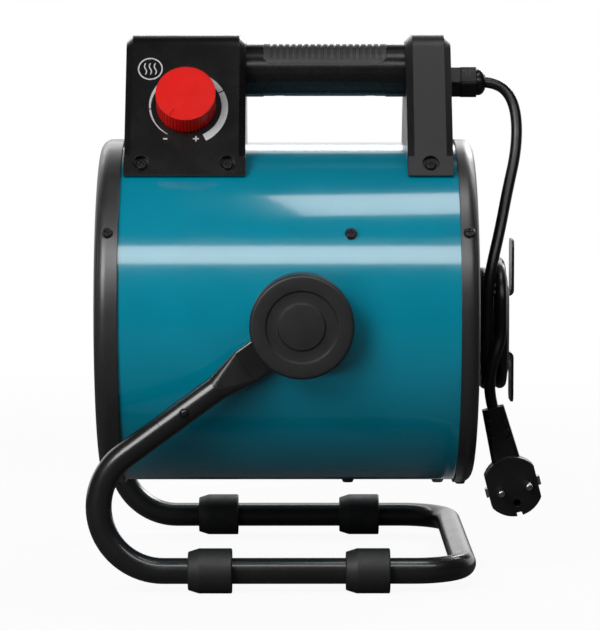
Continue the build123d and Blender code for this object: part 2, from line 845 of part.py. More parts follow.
# ------------------------------------------------------------- fan and motor
shaft_r = shaft_d / 2
motor_r = motor_d / 2
motor_rear_x = motor_front_x + motor_length
fan_front_x = fan_x - fan_hub_length / 2
shaft_front_x = fan_front_x - shaft_past_fan
shaft_rear_x = motor_rear_x + motor_cap_length * bearing_share
rotor_front_x = motor_front_x + motor_end_plate + rotor_end_room
rotor_rear_x = motor_rear_x - rotor_end_room

with BuildPart() as shaft:
    with BuildSketch(across(shaft_front_x)):
        Circle(shaft_r)
    extrude(amount=shaft_rear_x - shaft_front_x)
    with BuildSketch(across(rotor_front_x)):
        Circle(motor_r - motor_wall - rotor_gap)
    extrude(amount=rotor_rear_x - rotor_front_x)
    chamfer(shaft.faces().sort_by(Axis.X)[0].edges(), length=shaft_chamfer)
finish(shaft.part, "motor_rotor")

with BuildPart() as fan:
    with BuildSketch(across(fan_front_x)):
        Circle(fan_hub_d / 2)
    extrude(amount=fan_hub_length)
    front_edge = fan.faces().sort_by(Axis.X)[0].edges()
    fillet(front_edge, radius=fan_hub_edge)
    for i in range(fan_blades):
        angle = 90 + i * 360 / fan_blades
        root = radial(fan_x, angle, fan_hub_d / 2 - blade_sink)
        tip = radial(fan_x, angle, fan_r)
        with BuildSketch(root):
            Rectangle(blade_root[0], blade_thick, rotation=blade_root[1])
        with BuildSketch(tip):
            Rectangle(blade_tip[0], blade_thick, rotation=blade_tip[1])
        loft()
    with BuildSketch(across(fan_front_x - 1)):
        Circle(shaft_r + fit)
    extrude(amount=fan_hub_length + 2, mode=Mode.SUBTRACT)
finish(fan.part, "fan_impeller")

with BuildPart() as fan_nut:
    with BuildSketch(across(fan_front_x)):
        RegularPolygon(radius=fan_nut_flats / 2, side_count=6, major_radius=False)
        Circle(shaft_r + fit, mode=Mode.SUBTRACT)
    extrude(amount=-fan_nut_thick)
finish(fan_nut.part, "fan_nut")

with BuildPart() as motor:
    with BuildSketch(across(motor_front_x)):
        Circle(motor_r)
    extrude(amount=motor_length)
    fillet(motor.faces().sort_by(Axis.X)[0].edges(), radius=motor_edge)
    with BuildSketch(across(motor_front_x + motor_end_plate)):
        Circle(motor_r - motor_wall)
    extrude(amount=motor_length, mode=Mode.SUBTRACT)
    with BuildSketch(across(motor_front_x - 1)):
        Circle(shaft_r + run_fit)
    extrude(amount=motor_length, mode=Mode.SUBTRACT)
finish(motor.part, "motor_housing")

with BuildPart() as motor_cap:
    with BuildSketch(across(motor_rear_x)):
        Circle(motor_r)
    extrude(amount=motor_cap_length)
    fillet(motor_cap.faces().sort_by(Axis.X)[-1].edges(), radius=motor_edge)
    with BuildSketch(across(motor_rear_x - 1)):
        Circle(shaft_r + run_fit)
    extrude(amount=motor_cap_length * bearing_share + 1 + free_gap, mode=Mode.SUBTRACT)
    with BuildSketch(across(motor_rear_x + motor_cap_length)):
        with PolarLocations(motor_slot_r, 4, start_angle=45):
            SlotOverall(*motor_slot)
    extrude(amount=-motor_slot_depth, mode=Mode.SUBTRACT)
finish(motor_cap.part, "motor_cap")

clamp_r = motor_r + bracket_ring_thick
with BuildPart() as motor_bracket:
    with BuildSketch(across(drum_screw_x - bracket_width / 2)):
        Circle(clamp_r)
    extrude(amount=bracket_width)
    for angle in ring_screw_angles:
        with BuildSketch(radial(drum_screw_x, angle, motor_r + 1)):
            Rectangle(bracket_width, bracket_arm_thick)
        extrude(amount=shell_bore_r - bracket_foot_thick - motor_r)
        with BuildSketch(radial(drum_screw_x, angle, shell_bore_r - bracket_foot_thick - 2)):
            Rectangle(bracket_width, bracket_foot_width)
        extrude(amount=bracket_foot_thick + 2)
    with BuildSketch(across(drum_screw_x - bracket_width)):
        Circle(drum_r * 1.2)
        Circle(shell_bore_r - fit, mode=Mode.SUBTRACT)
    extrude(amount=bracket_width * 2, mode=Mode.SUBTRACT)
    with BuildSketch(across(drum_screw_x - bracket_width)):
        Circle(motor_r + fit)
    extrude(amount=bracket_width * 2, mode=Mode.SUBTRACT)
    for angle in ring_screw_angles:
        with BuildSketch(radial(drum_screw_x, angle, drum_r)):
            Circle(large_shank_d / 2 + fit)
        extrude(amount=-drum_screw_length - 1, mode=Mode.SUBTRACT)
finish(motor_bracket.part, "motor_bracket")

cutout_x = (duct_front_x + duct_rear_x) / 2
cutout_base_r = duct_r + fit
cutout_top_r = cutout_base_r + cutout_height
with BuildPart() as cutout:
    with BuildSketch(radial(cutout_x, 90, cutout_base_r)):
        Circle(cutout_d / 2)
    extrude(amount=cutout_height)
    with BuildSketch(radial(cutout_x, 90, cutout_top_r)):
        RectangleRounded(*cutout_flange, small_corner)
    extrude(amount=cutout_flange_thick)
    with BuildSketch(radial(cutout_x, 90, cutout_top_r + cutout_flange_thick)):
        with Locations((-cutout_tab_x, 0), (cutout_tab_x, 0)):
            Rectangle(cutout_tab[0], cutout_tab[1])
    extrude(amount=cutout_tab[2])
finish(cutout.part, "overheat_cutout")

# ------------------------------------------------------------------ the pivots
boss_outer_y = drum_r + boss_height
with BuildPart() as bosses:
    for side in (-1, 1):
        with BuildSketch(pivot_plane(side, boss_outer_y)):
            Circle(boss_d / 2)
            Circle(stud_d / 2 + run_fit, mode=Mode.SUBTRACT)
        extrude(amount=-boss_height * 2)
    with BuildSketch(across(-half_length)):
        Circle(drum_r + fit)
    extrude(amount=drum_length, mode=Mode.SUBTRACT)
finish(bosses.part, "pivot_bosses")

with BuildPart() as washers:
    for side in (-1, 1):
        with BuildSketch(pivot_plane(side, boss_outer_y)):
            Circle(friction_washer_d / 2)
            Circle(stud_d / 2 + run_fit, mode=Mode.SUBTRACT)
        extrude(amount=friction_washer_thick)
finish(washers.part, "friction_washers")

with BuildPart() as nut_plates:
    for side in (-1, 1):
        with BuildSketch(pivot_plane(side, shell_bore_r)):
            RectangleRounded(nut_plate_size, nut_plate_size, nut_plate_corner)
            Circle(stud_d / 2 + run_fit, mode=Mode.SUBTRACT)
        extrude(amount=-nut_plate_thick)
    with BuildSketch(across(-half_length)):
        Circle(drum_r * 1.2)
        Circle(shell_bore_r - fit, mode=Mode.SUBTRACT)
    extrude(amount=drum_length, mode=Mode.SUBTRACT)
finish(nut_plates.part, "nut_plates")

stud_tip_y = shell_bore_r - nut_plate_thick - stud_past_plate
with BuildPart() as tilt_knob:
    with BuildSketch(pivot_plane(-1, knob_inner_y)):
        Circle(knob_d / 2)
    extrude(amount=knob_thick)
    rim = tilt_knob.faces().sort_by(Axis.Y)[0].edges()
    fillet(rim, radius=knob_edge)
    with BuildSketch(pivot_plane(-1, knob_inner_y + knob_thick)):
        Circle(knob_groove_outer)
        Circle(knob_groove_inner, mode=Mode.SUBTRACT)
    extrude(amount=-knob_groove_depth, mode=Mode.SUBTRACT)
    with BuildSketch(pivot_plane(-1, stud_tip_y)):
        Circle(stud_d / 2)
    extrude(amount=knob_inner_y - stud_tip_y + knob_thick / 2)
finish(tilt_knob.part, "tilt_knob_near")
finish(far_twin(tilt_knob.part), "tilt_knob_far")

# --------------------------------------------- control box, post and handle
def housing_section(inset=0.0):
    """Sloped-side section of the box and post, as points across the drum."""
    lean = inset / cos(foot_slope)
    drop = (housing_top_z - housing_foot_z - inset) / (housing_top_z - housing_foot_z)
    top_y = housing_foot_y - lean - (housing_foot_y - housing_top_y) * drop
    low_z = housing_foot_z if inset == 0 else housing_foot_z - drum_r
    low_y = housing_foot_y - lean
    points = [(-low_y, housing_foot_z), (-top_y, housing_top_z - inset)]
    points += [(top_y, housing_top_z - inset), (low_y, housing_foot_z)]
    if inset:
        points += [(low_y, low_z), (-low_y, low_z)]
    return points


def housing(front_x, rear_x, screw_xs):
    """Hollow moulded housing that sits astride the drum."""
    with BuildPart() as shape:
        with BuildSketch(across(front_x)):
            Polygon(*housing_section(), align=None)
        extrude(amount=rear_x - front_x)
        long_edges = shape.edges().filter_by(Axis.X).group_by(Axis.Z)[-1]
        fillet(long_edges, radius=housing_top_fillet)
        foot_z = axis_z + housing_foot_z
        ends = shape.edges().filter_by(lambda e: abs((e @ 0).X - (e @ 1).X) < 0.01)
        ends = ends.filter_by(lambda e: e.center().Z > foot_z + 1)
        chamfer(ends, length=housing_chamfer)
        # square-cornered flange along the foot
        with BuildSketch(across(front_x)):
            Polygon(*housing_section(), align=None)
            with Locations((0, flange_top_z + housing_top_z)):
                Rectangle(housing_foot_y * 4, housing_top_z * 2, mode=Mode.SUBTRACT)
        extrude(amount=rear_x - front_x)
        with BuildSketch(across(front_x + housing_wall)) as hollow:
            Polygon(*housing_section(housing_wall), align=None)
            top_corners = hollow.vertices().group_by(Axis.Y)[-1]
            fillet(top_corners, radius=housing_top_fillet - housing_wall)
        extrude(amount=rear_x - front_x - 2 * housing_wall, mode=Mode.SUBTRACT)
        for side in (-1, 1):
            for x in screw_xs:
                with BuildSketch(panel(side, x, housing_screw_up, housing_wall / 2)):
                    Circle(housing_boss_d / 2)
                extrude(amount=-housing_boss_d)
                with BuildSketch(panel(side, x, housing_screw_up)):
                    Circle(housing_pocket_d / 2)
                extrude(amount=-housing_pocket_depth, mode=Mode.SUBTRACT)
                with BuildSketch(panel(side, x, housing_screw_up)):
                    Circle(small_shank_d / 2 + fit)
                extrude(amount=-housing_boss_d * 2, mode=Mode.SUBTRACT)
        with BuildSketch(across(front_x - 1)):
            Circle(drum_r + fit)
        extrude(amount=rear_x - front_x + 2, mode=Mode.SUBTRACT)
    return shape.part


box_screw_xs = (box_front_x + housing_screw_inset, box_rear_x - housing_screw_inset)
with BuildPart() as box:
    add(housing(box_front_x, box_rear_x, box_screw_xs))
    with BuildSketch(panel(-1, dial_x, dial_up)):
        Circle(thermostat_bush_d / 2 + fit)
    extrude(amount=-housing_wall * 2, mode=Mode.SUBTRACT)
    with BuildSketch(across(box_rear_x - housing_wall * 2)):
        with Locations((0, lead_z)):
            Circle(tenon_r + fit)
    extrude(amount=housing_wall * 3, mode=Mode.SUBTRACT)
finish(box.part, "control_box")

with BuildPart() as post:
    add(housing(post_front_x, post_rear_x, ((post_front_x + post_rear_x) / 2,)))
    with BuildSketch(across(post_front_x - housing_wall)):
        with Locations((0, lead_z)):
            Circle(tenon_r + fit)
    extrude(amount=housing_wall * 3, mode=Mode.SUBTRACT)
    with BuildSketch(across(post_rear_x - housing_wall * 2)):
        with Locations((0, gland_z)):
            Circle(gland_thread_d / 2 + fit)
    extrude(amount=housing_wall * 3, mode=Mode.SUBTRACT)
finish(post.part, "rear_post")

housing_seats = [
    panel(side, x, housing_screw_up, housing_pocket_depth) for side, x in housing_screw_spots
]
finish(
    pan_screws(housing_seats, small_head_d, small_head_h, small_shank_d, housing_screw_length),
    "housing_screws",
)


def handle_outline(inset=0.0):
    """Octagonal handle section with softened corners, drawn into the open sketch."""
    half_w = handle_width / 2 - inset
    half_h = handle_height / 2 - inset
    cut = handle_chamfer - inset * (2 - sqrt(2))
    with Locations((0, handle_z)):
        Polygon(
            (half_w, half_h - cut),
            (half_w - cut, half_h),
            (cut - half_w, half_h),
            (-half_w, half_h - cut),
            (-half_w, cut - half_h),
            (cut - half_w, -half_h),
            (half_w - cut, -half_h),
            (half_w, cut - half_h),
            align=None,
        )


def handle_sleeve(front_x, rear_x, inset, depth):
    """Skin of the handle between two depths under its surface."""
    with BuildPart() as skin:
        with BuildSketch(across(front_x)):
            handle_outline(inset)
        extrude(amount=rear_x - front_x)
        soften = skin.edges().filter_by(Axis.X)
        fillet(soften, radius=handle_soften - inset)
        with BuildPart(mode=Mode.PRIVATE) as core:
            with BuildSketch(across(front_x)):
                handle_outline(depth)
            extrude(amount=rear_x - front_x)
            soften = core.edges().filter_by(Axis.X)
            fillet(soften, radius=handle_soften - depth)
        add(core.part, mode=Mode.SUBTRACT)
    return skin.part


def side_prism(points):
    """Block with an outline drawn along the drum, wider than the handle."""
    with BuildPart() as block:
        with BuildSketch(along()):
            Polygon(*points, align=None)
        extrude(amount=handle_width, both=True)
    return block.part


grip_top_z = handle_z + handle_height
grip_points = [
    (inlay_front_x, grip_top_z),
    (inlay_front_x, grip_low_z + grip_corner),
    (inlay_front_x + grip_corner, grip_low_z),
    (inlay_rear_x - grip_corner, grip_low_z),
    (inlay_rear_x, grip_low_z + grip_corner),
    (inlay_rear_x, grip_top_z),
]
under_low_z = handle_z - handle_height
under_points = [
    (inlay_front_x, under_low_z),
    (inlay_rear_x, under_low_z),
    (inlay_rear_x, under_high_z - under_corner),
    (inlay_rear_x - under_corner, under_high_z),
    (inlay_front_x + under_corner, under_high_z),
    (inlay_front_x, under_high_z - under_corner),
]
grip_solid = handle_sleeve(box_rear_x, post_front_x, 0, inlay_thick) & side_prism(grip_points)
under_pocket = handle_sleeve(box_rear_x, post_front_x, 0, inlay_thick) & side_prism(under_points)
under_skin = handle_sleeve(box_rear_x, post_front_x, under_recess, inlay_thick)
under_solid = under_skin & side_prism(under_points)

with BuildPart() as grip:
    add(grip_solid)
    for i in range(rib_grooves):
        x = rib_first_x + i * rib_pitch
        slit = handle_sleeve(x, x + rib_groove_width, 0, rib_groove_depth)
        before, behind = x - rib_groove_width, x + 2 * rib_groove_width
        low = side_prism(
            [(before, rib_low_z), (behind, rib_low_z), (behind, grip_top_z), (before, grip_top_z)]
        )
        add(slit & low, mode=Mode.SUBTRACT)
finish(grip.part, "grip_insert")

with BuildPart() as handle:
    with BuildSketch(across(box_rear_x)):
        handle_outline()
    extrude(amount=post_front_x - box_rear_x)
    fillet(handle.edges().filter_by(Axis.X), radius=handle_soften)
    with BuildSketch(across(box_rear_x - housing_wall)):
        with Locations((0, lead_z)):
            Circle(tenon_r)
    extrude(amount=post_front_x - box_rear_x + 2 * housing_wall)
    with BuildSketch(across(box_rear_x - housing_wall * 2)):
        with Locations((0, lead_z)):
            Circle(lead_bore_r)
    extrude(amount=post_front_x - box_rear_x + 4 * housing_wall, mode=Mode.SUBTRACT)
    add(grip_solid, mode=Mode.SUBTRACT)
    add(under_pocket, mode=Mode.SUBTRACT)
    for x in handle_screw_x:
        with BuildSketch(Plane(origin=place(x, 0, handle_z - handle_height / 2))):
            Circle(handle_screw_d / 2 + fit)
        extrude(amount=handle_screw_length + handle_screw_hole_end, mode=Mode.SUBTRACT)
finish(handle.part, "handle")

screw_seat_z = handle_z - handle_height / 2 + under_recess + handle_screw_pocket_depth
with BuildPart() as underside:
    add(under_solid)
    for x in handle_screw_x:
        seat = place(x, 0, screw_seat_z)
        with BuildSketch(Plane(origin=seat, z_dir=(0, 0, -1))):
            Circle(handle_screw_pocket_d / 2)
        extrude(amount=handle_height, mode=Mode.SUBTRACT)
        with BuildSketch(Plane(origin=seat, z_dir=(0, 0, 1))):
            Circle(handle_screw_d / 2 + fit)
        extrude(amount=handle_height / 4, mode=Mode.SUBTRACT)
finish(underside.part, "handle_underside")

handle_seats = [Plane(origin=place(x, 0, screw_seat_z), z_dir=(0, 0, -1)) for x in handle_screw_x]
with BuildPart() as handle_screws:
    for seat in handle_seats:
        with BuildSketch(seat):
            Circle(handle_screw_head_d / 2)
        extrude(amount=handle_screw_head_h)
        with BuildSketch(seat):
            Circle(handle_screw_d / 2)
        extrude(amount=-handle_screw_length)
        with BuildSketch(seat.offset(handle_screw_head_h)):
            Rectangle(handle_screw_cross[0], handle_screw_cross[1])
            Rectangle(handle_screw_cross[1], handle_screw_cross[0])
        extrude(amount=-handle_screw_cross[2], mode=Mode.SUBTRACT)
finish(handle_screws.part, "handle_screws")

# --------------------------------------------------------- dial and thermostat
def dial_plane(out):
    """Plane on the near sloped side at the dial's middle, out from the panel."""
    return panel(-1, dial_x, dial_up, -out)


dial_r = dial_d / 2
with BuildPart() as dial_knob:
    with BuildSketch(dial_plane(dial_gap)):
        Circle(dial_r)
        with PolarLocations(dial_r, dial_flutes):
            Circle(dial_flute_r, mode=Mode.SUBTRACT)
    extrude(amount=dial_height - dial_edge)
    with BuildSketch(dial_plane(dial_gap + dial_height - dial_edge)):
        Circle(dial_r)
    extrude(amount=dial_edge)
    with BuildSketch(dial_plane(dial_gap)):
        Circle(dial_recess_r)
    extrude(amount=thermostat_bush_out + free_gap, mode=Mode.SUBTRACT)
    with BuildSketch(dial_plane(dial_gap)):
        Circle(spindle_d / 2 + fit)
    extrude(amount=spindle_in_knob, mode=Mode.SUBTRACT)
    pointer = radians(dial_pointer_angle)
    pointer_r = dial_r * dial_pointer_at
    with BuildSketch(dial_plane(dial_gap + dial_height)):
        with Locations((-sin(pointer) * pointer_r, -cos(pointer) * pointer_r)):
            Rectangle(dial_pointer[0], dial_pointer[1], rotation=90 - dial_pointer_angle)
    extrude(amount=-dial_pointer[2], mode=Mode.SUBTRACT)
finish(dial_knob.part, "dial_knob")

spindle_depth = thermostat_depth * spindle_share  # inside the thermostat
with BuildPart() as spindle:
    with BuildSketch(dial_plane(dial_gap + spindle_in_knob)):
        Circle(spindle_d / 2)
    extrude(amount=-(dial_gap + spindle_in_knob + housing_wall + spindle_depth))
finish(spindle.part, "dial_spindle")

with BuildPart() as thermostat:
    with BuildSketch(dial_plane(-housing_wall - fit)):
        RectangleRounded(thermostat_size, thermostat_size, small_corner)
    extrude(amount=-thermostat_depth)
    with BuildSketch(dial_plane(-housing_wall - 1)):
        Circle(thermostat_bush_d / 2)
    extrude(amount=housing_wall + 1 + thermostat_bush_out)
    with BuildSketch(dial_plane(thermostat_bush_out + 1)):
        Circle(spindle_d / 2 + run_fit)
    bore_depth = thermostat_bush_out + 1 + housing_wall + spindle_depth + free_gap
    extrude(amount=-bore_depth, mode=Mode.SUBTRACT)
finish(thermostat.part, "thermostat")

with BuildPart() as thermostat_nut:
    with BuildSketch(dial_plane(0)):
        RegularPolygon(radius=thermostat_nut_flats / 2, side_count=6, major_radius=False)
        Circle(thermostat_bush_d / 2 + fit, mode=Mode.SUBTRACT)
    extrude(amount=thermostat_nut_thick)
finish(thermostat_nut.part, "thermostat_nut")

terminal_top_z = drum_r + fit + terminal_height
with BuildPart() as terminal:
    with BuildSketch(Plane(origin=place(terminal_x, 0, drum_r + fit))):
        RectangleRounded(terminal_length, terminal_width, small_corner)
    extrude(amount=terminal_height)
    with BuildSketch(Plane(origin=place(terminal_x, 0, terminal_top_z))):
        with GridLocations(terminal_length - 2 * terminal_screw_inset, terminal_width / 2, 2, 2):
            Circle(terminal_screw_d / 2)
    extrude(amount=-terminal_screw_depth, mode=Mode.SUBTRACT)
finish(terminal.part, "terminal_block")

# -------------------------------------------------------------------- the gland
nut_start_x = post_rear_x + gland_hex_length
dome_start_x = nut_start_x + gland_nut_length
with BuildPart() as gland_body:
    with BuildSketch(across(post_rear_x)):
        with Locations((0, gland_z)):
            RegularPolygon(radius=gland_across_flats / 2, side_count=6, major_radius=False)
    extrude(amount=gland_hex_length)
    with BuildSketch(across(post_rear_x)):
        with Locations((0, gland_z)):
            Circle(gland_thread_d / 2)
    extrude(amount=-gland_thread_length)
    with BuildSketch(across(post_rear_x - gland_thread_length * 2)):
        with Locations((0, gland_z)):
            Circle(cord_r + fit)
    extrude(amount=gland_thread_length * 4, mode=Mode.SUBTRACT)
finish(gland_body.part, "gland_body")

with BuildPart() as gland_nut:
    with BuildSketch(across(nut_start_x)):
        with Locations((0, gland_z)):
            RegularPolygon(
                radius=gland_across_flats / 2 + gland_nut_proud, side_count=6, major_radius=False
            )
    extrude(amount=gland_nut_length)
    with BuildSketch(across(dome_start_x)):
        with Locations((0, gland_z)):
            Circle(gland_dome_d / 2)
    extrude(amount=gland_dome_length)
    fillet(gland_nut.faces().sort_by(Axis.X)[-1].edges(), radius=gland_dome_length * gland_dome_share)
    with BuildSketch(across(nut_start_x)):
        with Locations((0, gland_z)):
            Circle(gland_seal_d / 2 + fit)
    extrude(amount=gland_seal_length, mode=Mode.SUBTRACT)
    with BuildSketch(across(nut_start_x)):
        with Locations((0, gland_z)):
            Circle(cord_r + gland_mouth_gap)
    extrude(amount=gland_nut_length * 3, mode=Mode.SUBTRACT)
finish(gland_nut.part, "gland_nut")

with BuildPart() as gland_seal:
    with BuildSketch(across(nut_start_x)):
        with Locations((0, gland_z)):
            Circle(gland_seal_d / 2)
            Circle(cord_r + fit, mode=Mode.SUBTRACT)
    extrude(amount=gland_seal_length)
finish(gland_seal.part, "gland_seal")

# lead inside the post and handle, from the gland to the terminal block
rise_x = post_front_x + inner_lead_rise
with BuildPart() as inner_lead:
    with BuildLine() as inner_path:
        FilletPolyline(
            place(lead_points[0][0], 0, gland_z),
            place(rise_x + inner_lead_run, 0, gland_z),
            place(rise_x, 0, lead_z),
            place(terminal_x, 0, lead_z),
            place(terminal_x, 0, terminal_top_z + fit),
            radius=list(inner_lead_bends),
        )
    with BuildSketch(Plane(origin=place(lead_points[0][0], 0, gland_z), z_dir=(-1, 0, 0))):
        Circle(cord_r)
    sweep(path=inner_path.line)
finish(inner_lead.part, "inner_lead")

# ------------------------------------------------------- cord bracket and coil
base_x = shell_end - shell_wall
arm_top_mid = bracket_arm_top - bracket_strip / 2
arm_low_mid = bracket_arm_low + bracket_strip / 2
plate_mid_x = bracket_tip_x - bracket_strip / 2
base_mid_x = base_x + bracket_strip / 2
with BuildPart() as cord_bracket:
    with BuildLine() as strip_line:
        FilletPolyline(
            place(plate_mid_x, 0, bracket_tip_top),
            place(plate_mid_x, 0, arm_top_mid),
            place(base_mid_x, 0, arm_top_mid),
            place(base_mid_x, 0, arm_low_mid),
            place(plate_mid_x, 0, arm_low_mid),
            place(plate_mid_x, 0, bracket_tip_low),
            radius=bracket_bend,
        )
    tip_plane = Plane(origin=place(plate_mid_x, 0, bracket_tip_top), x_dir=(1, 0, 0), z_dir=(0, 0, -1))
    with BuildSketch(tip_plane):
        Rectangle(bracket_strip, bracket_strip_width)
    sweep(path=strip_line.line)
    with BuildSketch(across(base_x - 1)):
        with Locations((-bracket_screw_y, bracket_screw_z), (bracket_screw_y, bracket_screw_z)):
            Circle(small_shank_d / 2 + fit)
    extrude(amount=bracket_strip * 3, mode=Mode.SUBTRACT)
    ends = cord_bracket.edges().filter_by(Axis.X).filter_by(lambda e: e.length < bracket_strip + 0.1)
    fillet(ends, radius=bracket_strip_width * 0.2)
finish(cord_bracket.part, "cord_bracket")

spoke_rear_x = base_x - fit - wire_d - wire_d * weld_share
with BuildPart() as clamp:
    with BuildSketch(across(spoke_rear_x - fit)):
        with Locations((0, bracket_screw_z)):
            RectangleRounded(clamp_width, clamp_height, small_corner)
        with Locations((-bracket_screw_y, bracket_screw_z), (bracket_screw_y, bracket_screw_z)):
            Circle(small_shank_d / 2 + fit, mode=Mode.SUBTRACT)
    extrude(amount=-clamp_thick)
finish(clamp.part, "bracket_clamp")

bracket_seats = [
    Plane(origin=place(base_x + bracket_strip, y, bracket_screw_z), x_dir=(0, 1, 0), z_dir=(1, 0, 0))
    for y in (-bracket_screw_y, bracket_screw_y)
]
finish(
    pan_screws(bracket_seats, small_head_d, small_head_h, small_shank_d, bracket_screw_length),
    "bracket_screws",
)


def cord_radii(points):
    """Arc for each corner of a cord, from the shorter of its two runs."""
    radii = []
    for before, corner, after in zip(points, points[1:], points[2:]):
        run_in = Vector(*corner) - Vector(*before)
        run_out = Vector(*after) - Vector(*corner)
        half_turn = radians(run_in.get_angle(run_out)) / 2
        shorter = min(run_in.length, run_out.length)
        radii.append(arc_share * shorter * cos(half_turn) / sin(half_turn))
    return radii


def cord_tube(points, name):
    """Round cord along straight runs joined by tangent arcs."""
    radii = cord_radii(points)
    spots = [place(*point) for point in points]
    with BuildPart() as tube:
        with BuildLine() as route:
            FilletPolyline(*spots, radius=radii)
        with BuildSketch(Plane(origin=spots[0], z_dir=spots[1] - spots[0])):
            Circle(cord_r)
        sweep(path=route.line)
    length = sum(edge.length for edge in route.edges())
    share = tube.part.volume / (length * pi * cord_r**2)
    print(name, "radii", [round(r, 1) for r in radii])
    print(name, "length", round(length, 1), "volume share", round(share, 4))
    finish(tube.part, name)
    return length


def half_turn(start, end, up):
    """Cord over (up 1) or under (up -1) an arm: bend, straight, bend."""
    chord = end - start
    lay = chord.normalized()
    rise = Vector(0, 0, up)
    bend = (chord.length - coil_flat) / 2
    diagonal = sqrt(0.5)
    first = start + (lay + rise) * bend
    last = end + (rise - lay) * bend
    first_mid = start + lay * bend * (1 - diagonal) + rise * bend * diagonal
    last_mid = end - lay * bend * (1 - diagonal) + rise * bend * diagonal
    ThreePointArc(start, first_mid, first)
    Line(first, last)
    ThreePointArc(last, last_mid, end)


def coil_columns():
    """Where each upright stretch of the coil stands: spiralling in, then out."""
    inward = [(coil_front_layer_x, k) for k in range(coil_turns - 1, -1, -1)]
    outward = [(coil_rear_layer_x - coil_rear_fan * k, k) for k in range(coil_turns + 1)]
    columns = []
    for i, (x, k) in enumerate(inward + outward):
        side = -1 if i % 2 == 0 else 1
        columns.append((x, side * (coil_flat / 2 + coil_inner_bend + coil_step * k)))
    return columns


def low_level(i):
    """Where the bend under the lower arm begins; the climb between layers is higher."""
    return coil_low_z + (coil_climb_rise if i == coil_turns - 1 else 0)


columns = coil_columns()
coil_end_z = tail_points[0][2]
with BuildPart() as coil:
    with BuildLine() as winding:
        for i, ((x, y), (next_x, next_y)) in enumerate(zip(columns, columns[1:])):
            down = i % 2 == 0
            start_z, end_z = (coil_top_z, low_level(i)) if down else (low_level(i - 1), coil_top_z)
            Line(place(x, y, start_z), place(x, y, end_z))
            half_turn(place(x, y, end_z), place(next_x, next_y, end_z), -1 if down else 1)
        Line(place(*columns[-1], coil_top_z), place(*columns[-1], coil_end_z))
    start = place(columns[0][0], columns[0][1], coil_top_z)
    with BuildSketch(Plane(origin=start, z_dir=(0, 0, -1))):
        Circle(cord_r)
    sweep(path=winding.wire())
finish(coil.part, "cord_coil")
coil_length = sum(edge.length for edge in winding.edges())
coil_share = coil.part.volume / (coil_length * pi * cord_r**2)
print("coil length", round(coil_length, 1), "volume share", round(coil_share, 4))
coil_wire = winding.wire()
sample_step = 2.0
sample_count = int(coil_length / sample_step)
samples = [coil_wire.position_at(i * sample_step / coil_length) for i in range(sample_count)]
apart = int(cord_d * 4 / sample_step)
least = min(
    (samples[i] - samples[j]).length for i in range(len(samples)) for j in range(i + apart, len(samples))
)
print("coil least gap", round(least - cord_d, 2))

lead_length = cord_tube(lead_points, "cord_lead")
tail_length = cord_tube(tail_points, "cord_tail")
print("cord length outside the gland", round(lead_length + coil_length + tail_length, 1))

# -------------------------------------------------------------------- the plug
plug_entry = place(*tail_points[-1])
plug_up = (place(*tail_points[-2]) - plug_entry).normalized()
plug_right = Vector(plug_up.Z, 0, -plug_up.X)
plug_at = plug_entry - plug_up * plug_reach


def plug_plane(out):
    """Plane of the plug's face, out towards its pins, with the cord upwards."""
    return Plane(origin=plug_at + Vector(0, -out, 0), x_dir=plug_right, z_dir=(0, -1, 0))


with BuildPart() as plug:
    with BuildSketch(plug_plane(-plug_back)):
        Circle(plug_r)
        Rectangle(2 * plug_flat, 3 * plug_r, mode=Mode.INTERSECT)
    extrude(amount=plug_back + plug_front)
    rim = plug.faces().sort_by(Axis.Y)[-1].edges()
    fillet(rim, radius=plug_edge)
    low = Plane(origin=plug_at + plug_up * plug_r * 0.5, x_dir=plug_right, z_dir=plug_up)
    high = Plane(origin=plug_entry, x_dir=plug_right, z_dir=plug_up)
    with BuildSketch(low):
        RectangleRounded(*plug_handle_low, plug_handle_corner)
    with BuildSketch(high):
        RectangleRounded(*plug_handle_top, plug_handle_corner)
    loft()
    for side, shares in plug_grooves.items():
        for share in shares:
            with BuildSketch(plug_plane(plug_handle_low[1] / 2)):
                with Locations((side * plug_groove_x, plug_r + (plug_reach - plug_r) * share)):
                    Rectangle(plug_groove[0], plug_groove[1], rotation=side * plug_groove_lean)
            extrude(amount=-plug_groove[2], mode=Mode.SUBTRACT)
    with BuildSketch(plug_plane(plug_front)):
        with Locations((0, -earth_hole_down)):
            Circle(earth_hole_d / 2)
    extrude(amount=-earth_hole_depth, mode=Mode.SUBTRACT)
    with BuildSketch(plug_plane(plug_front)):
        with Locations((0, -plug_r)):
            Rectangle(plug_notch[0], plug_notch[1] * 2)
    extrude(amount=-plug_front - plug_back, mode=Mode.SUBTRACT)
finish(plug.part, "plug_body")

with BuildPart() as pins:
    with BuildSketch(plug_plane(plug_front)):
        with Locations((-plug_pin_pitch / 2, 0), (plug_pin_pitch / 2, 0)):
            Circle(plug_pin_d / 2)
    extrude(amount=plug_pin_length)
    tips = pins.faces().sort_by(Axis.Y)[:2]
    fillet(tips.edges(), radius=plug_pin_tip)
finish(pins.part, "plug_pins")

with BuildPart() as clips:
    clip_x = plug_flat + earth_clip[0] / 2
    with BuildSketch(plug_plane(plug_front - earth_clip_back)):
        with Locations((-clip_x, 0), (clip_x, 0)):
            Rectangle(earth_clip[0], earth_clip[1])
    extrude(amount=earth_clip[2])
finish(clips.part, "earth_clips")
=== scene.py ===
from math import atan2, cos, hypot, pi, radians, sin, tan

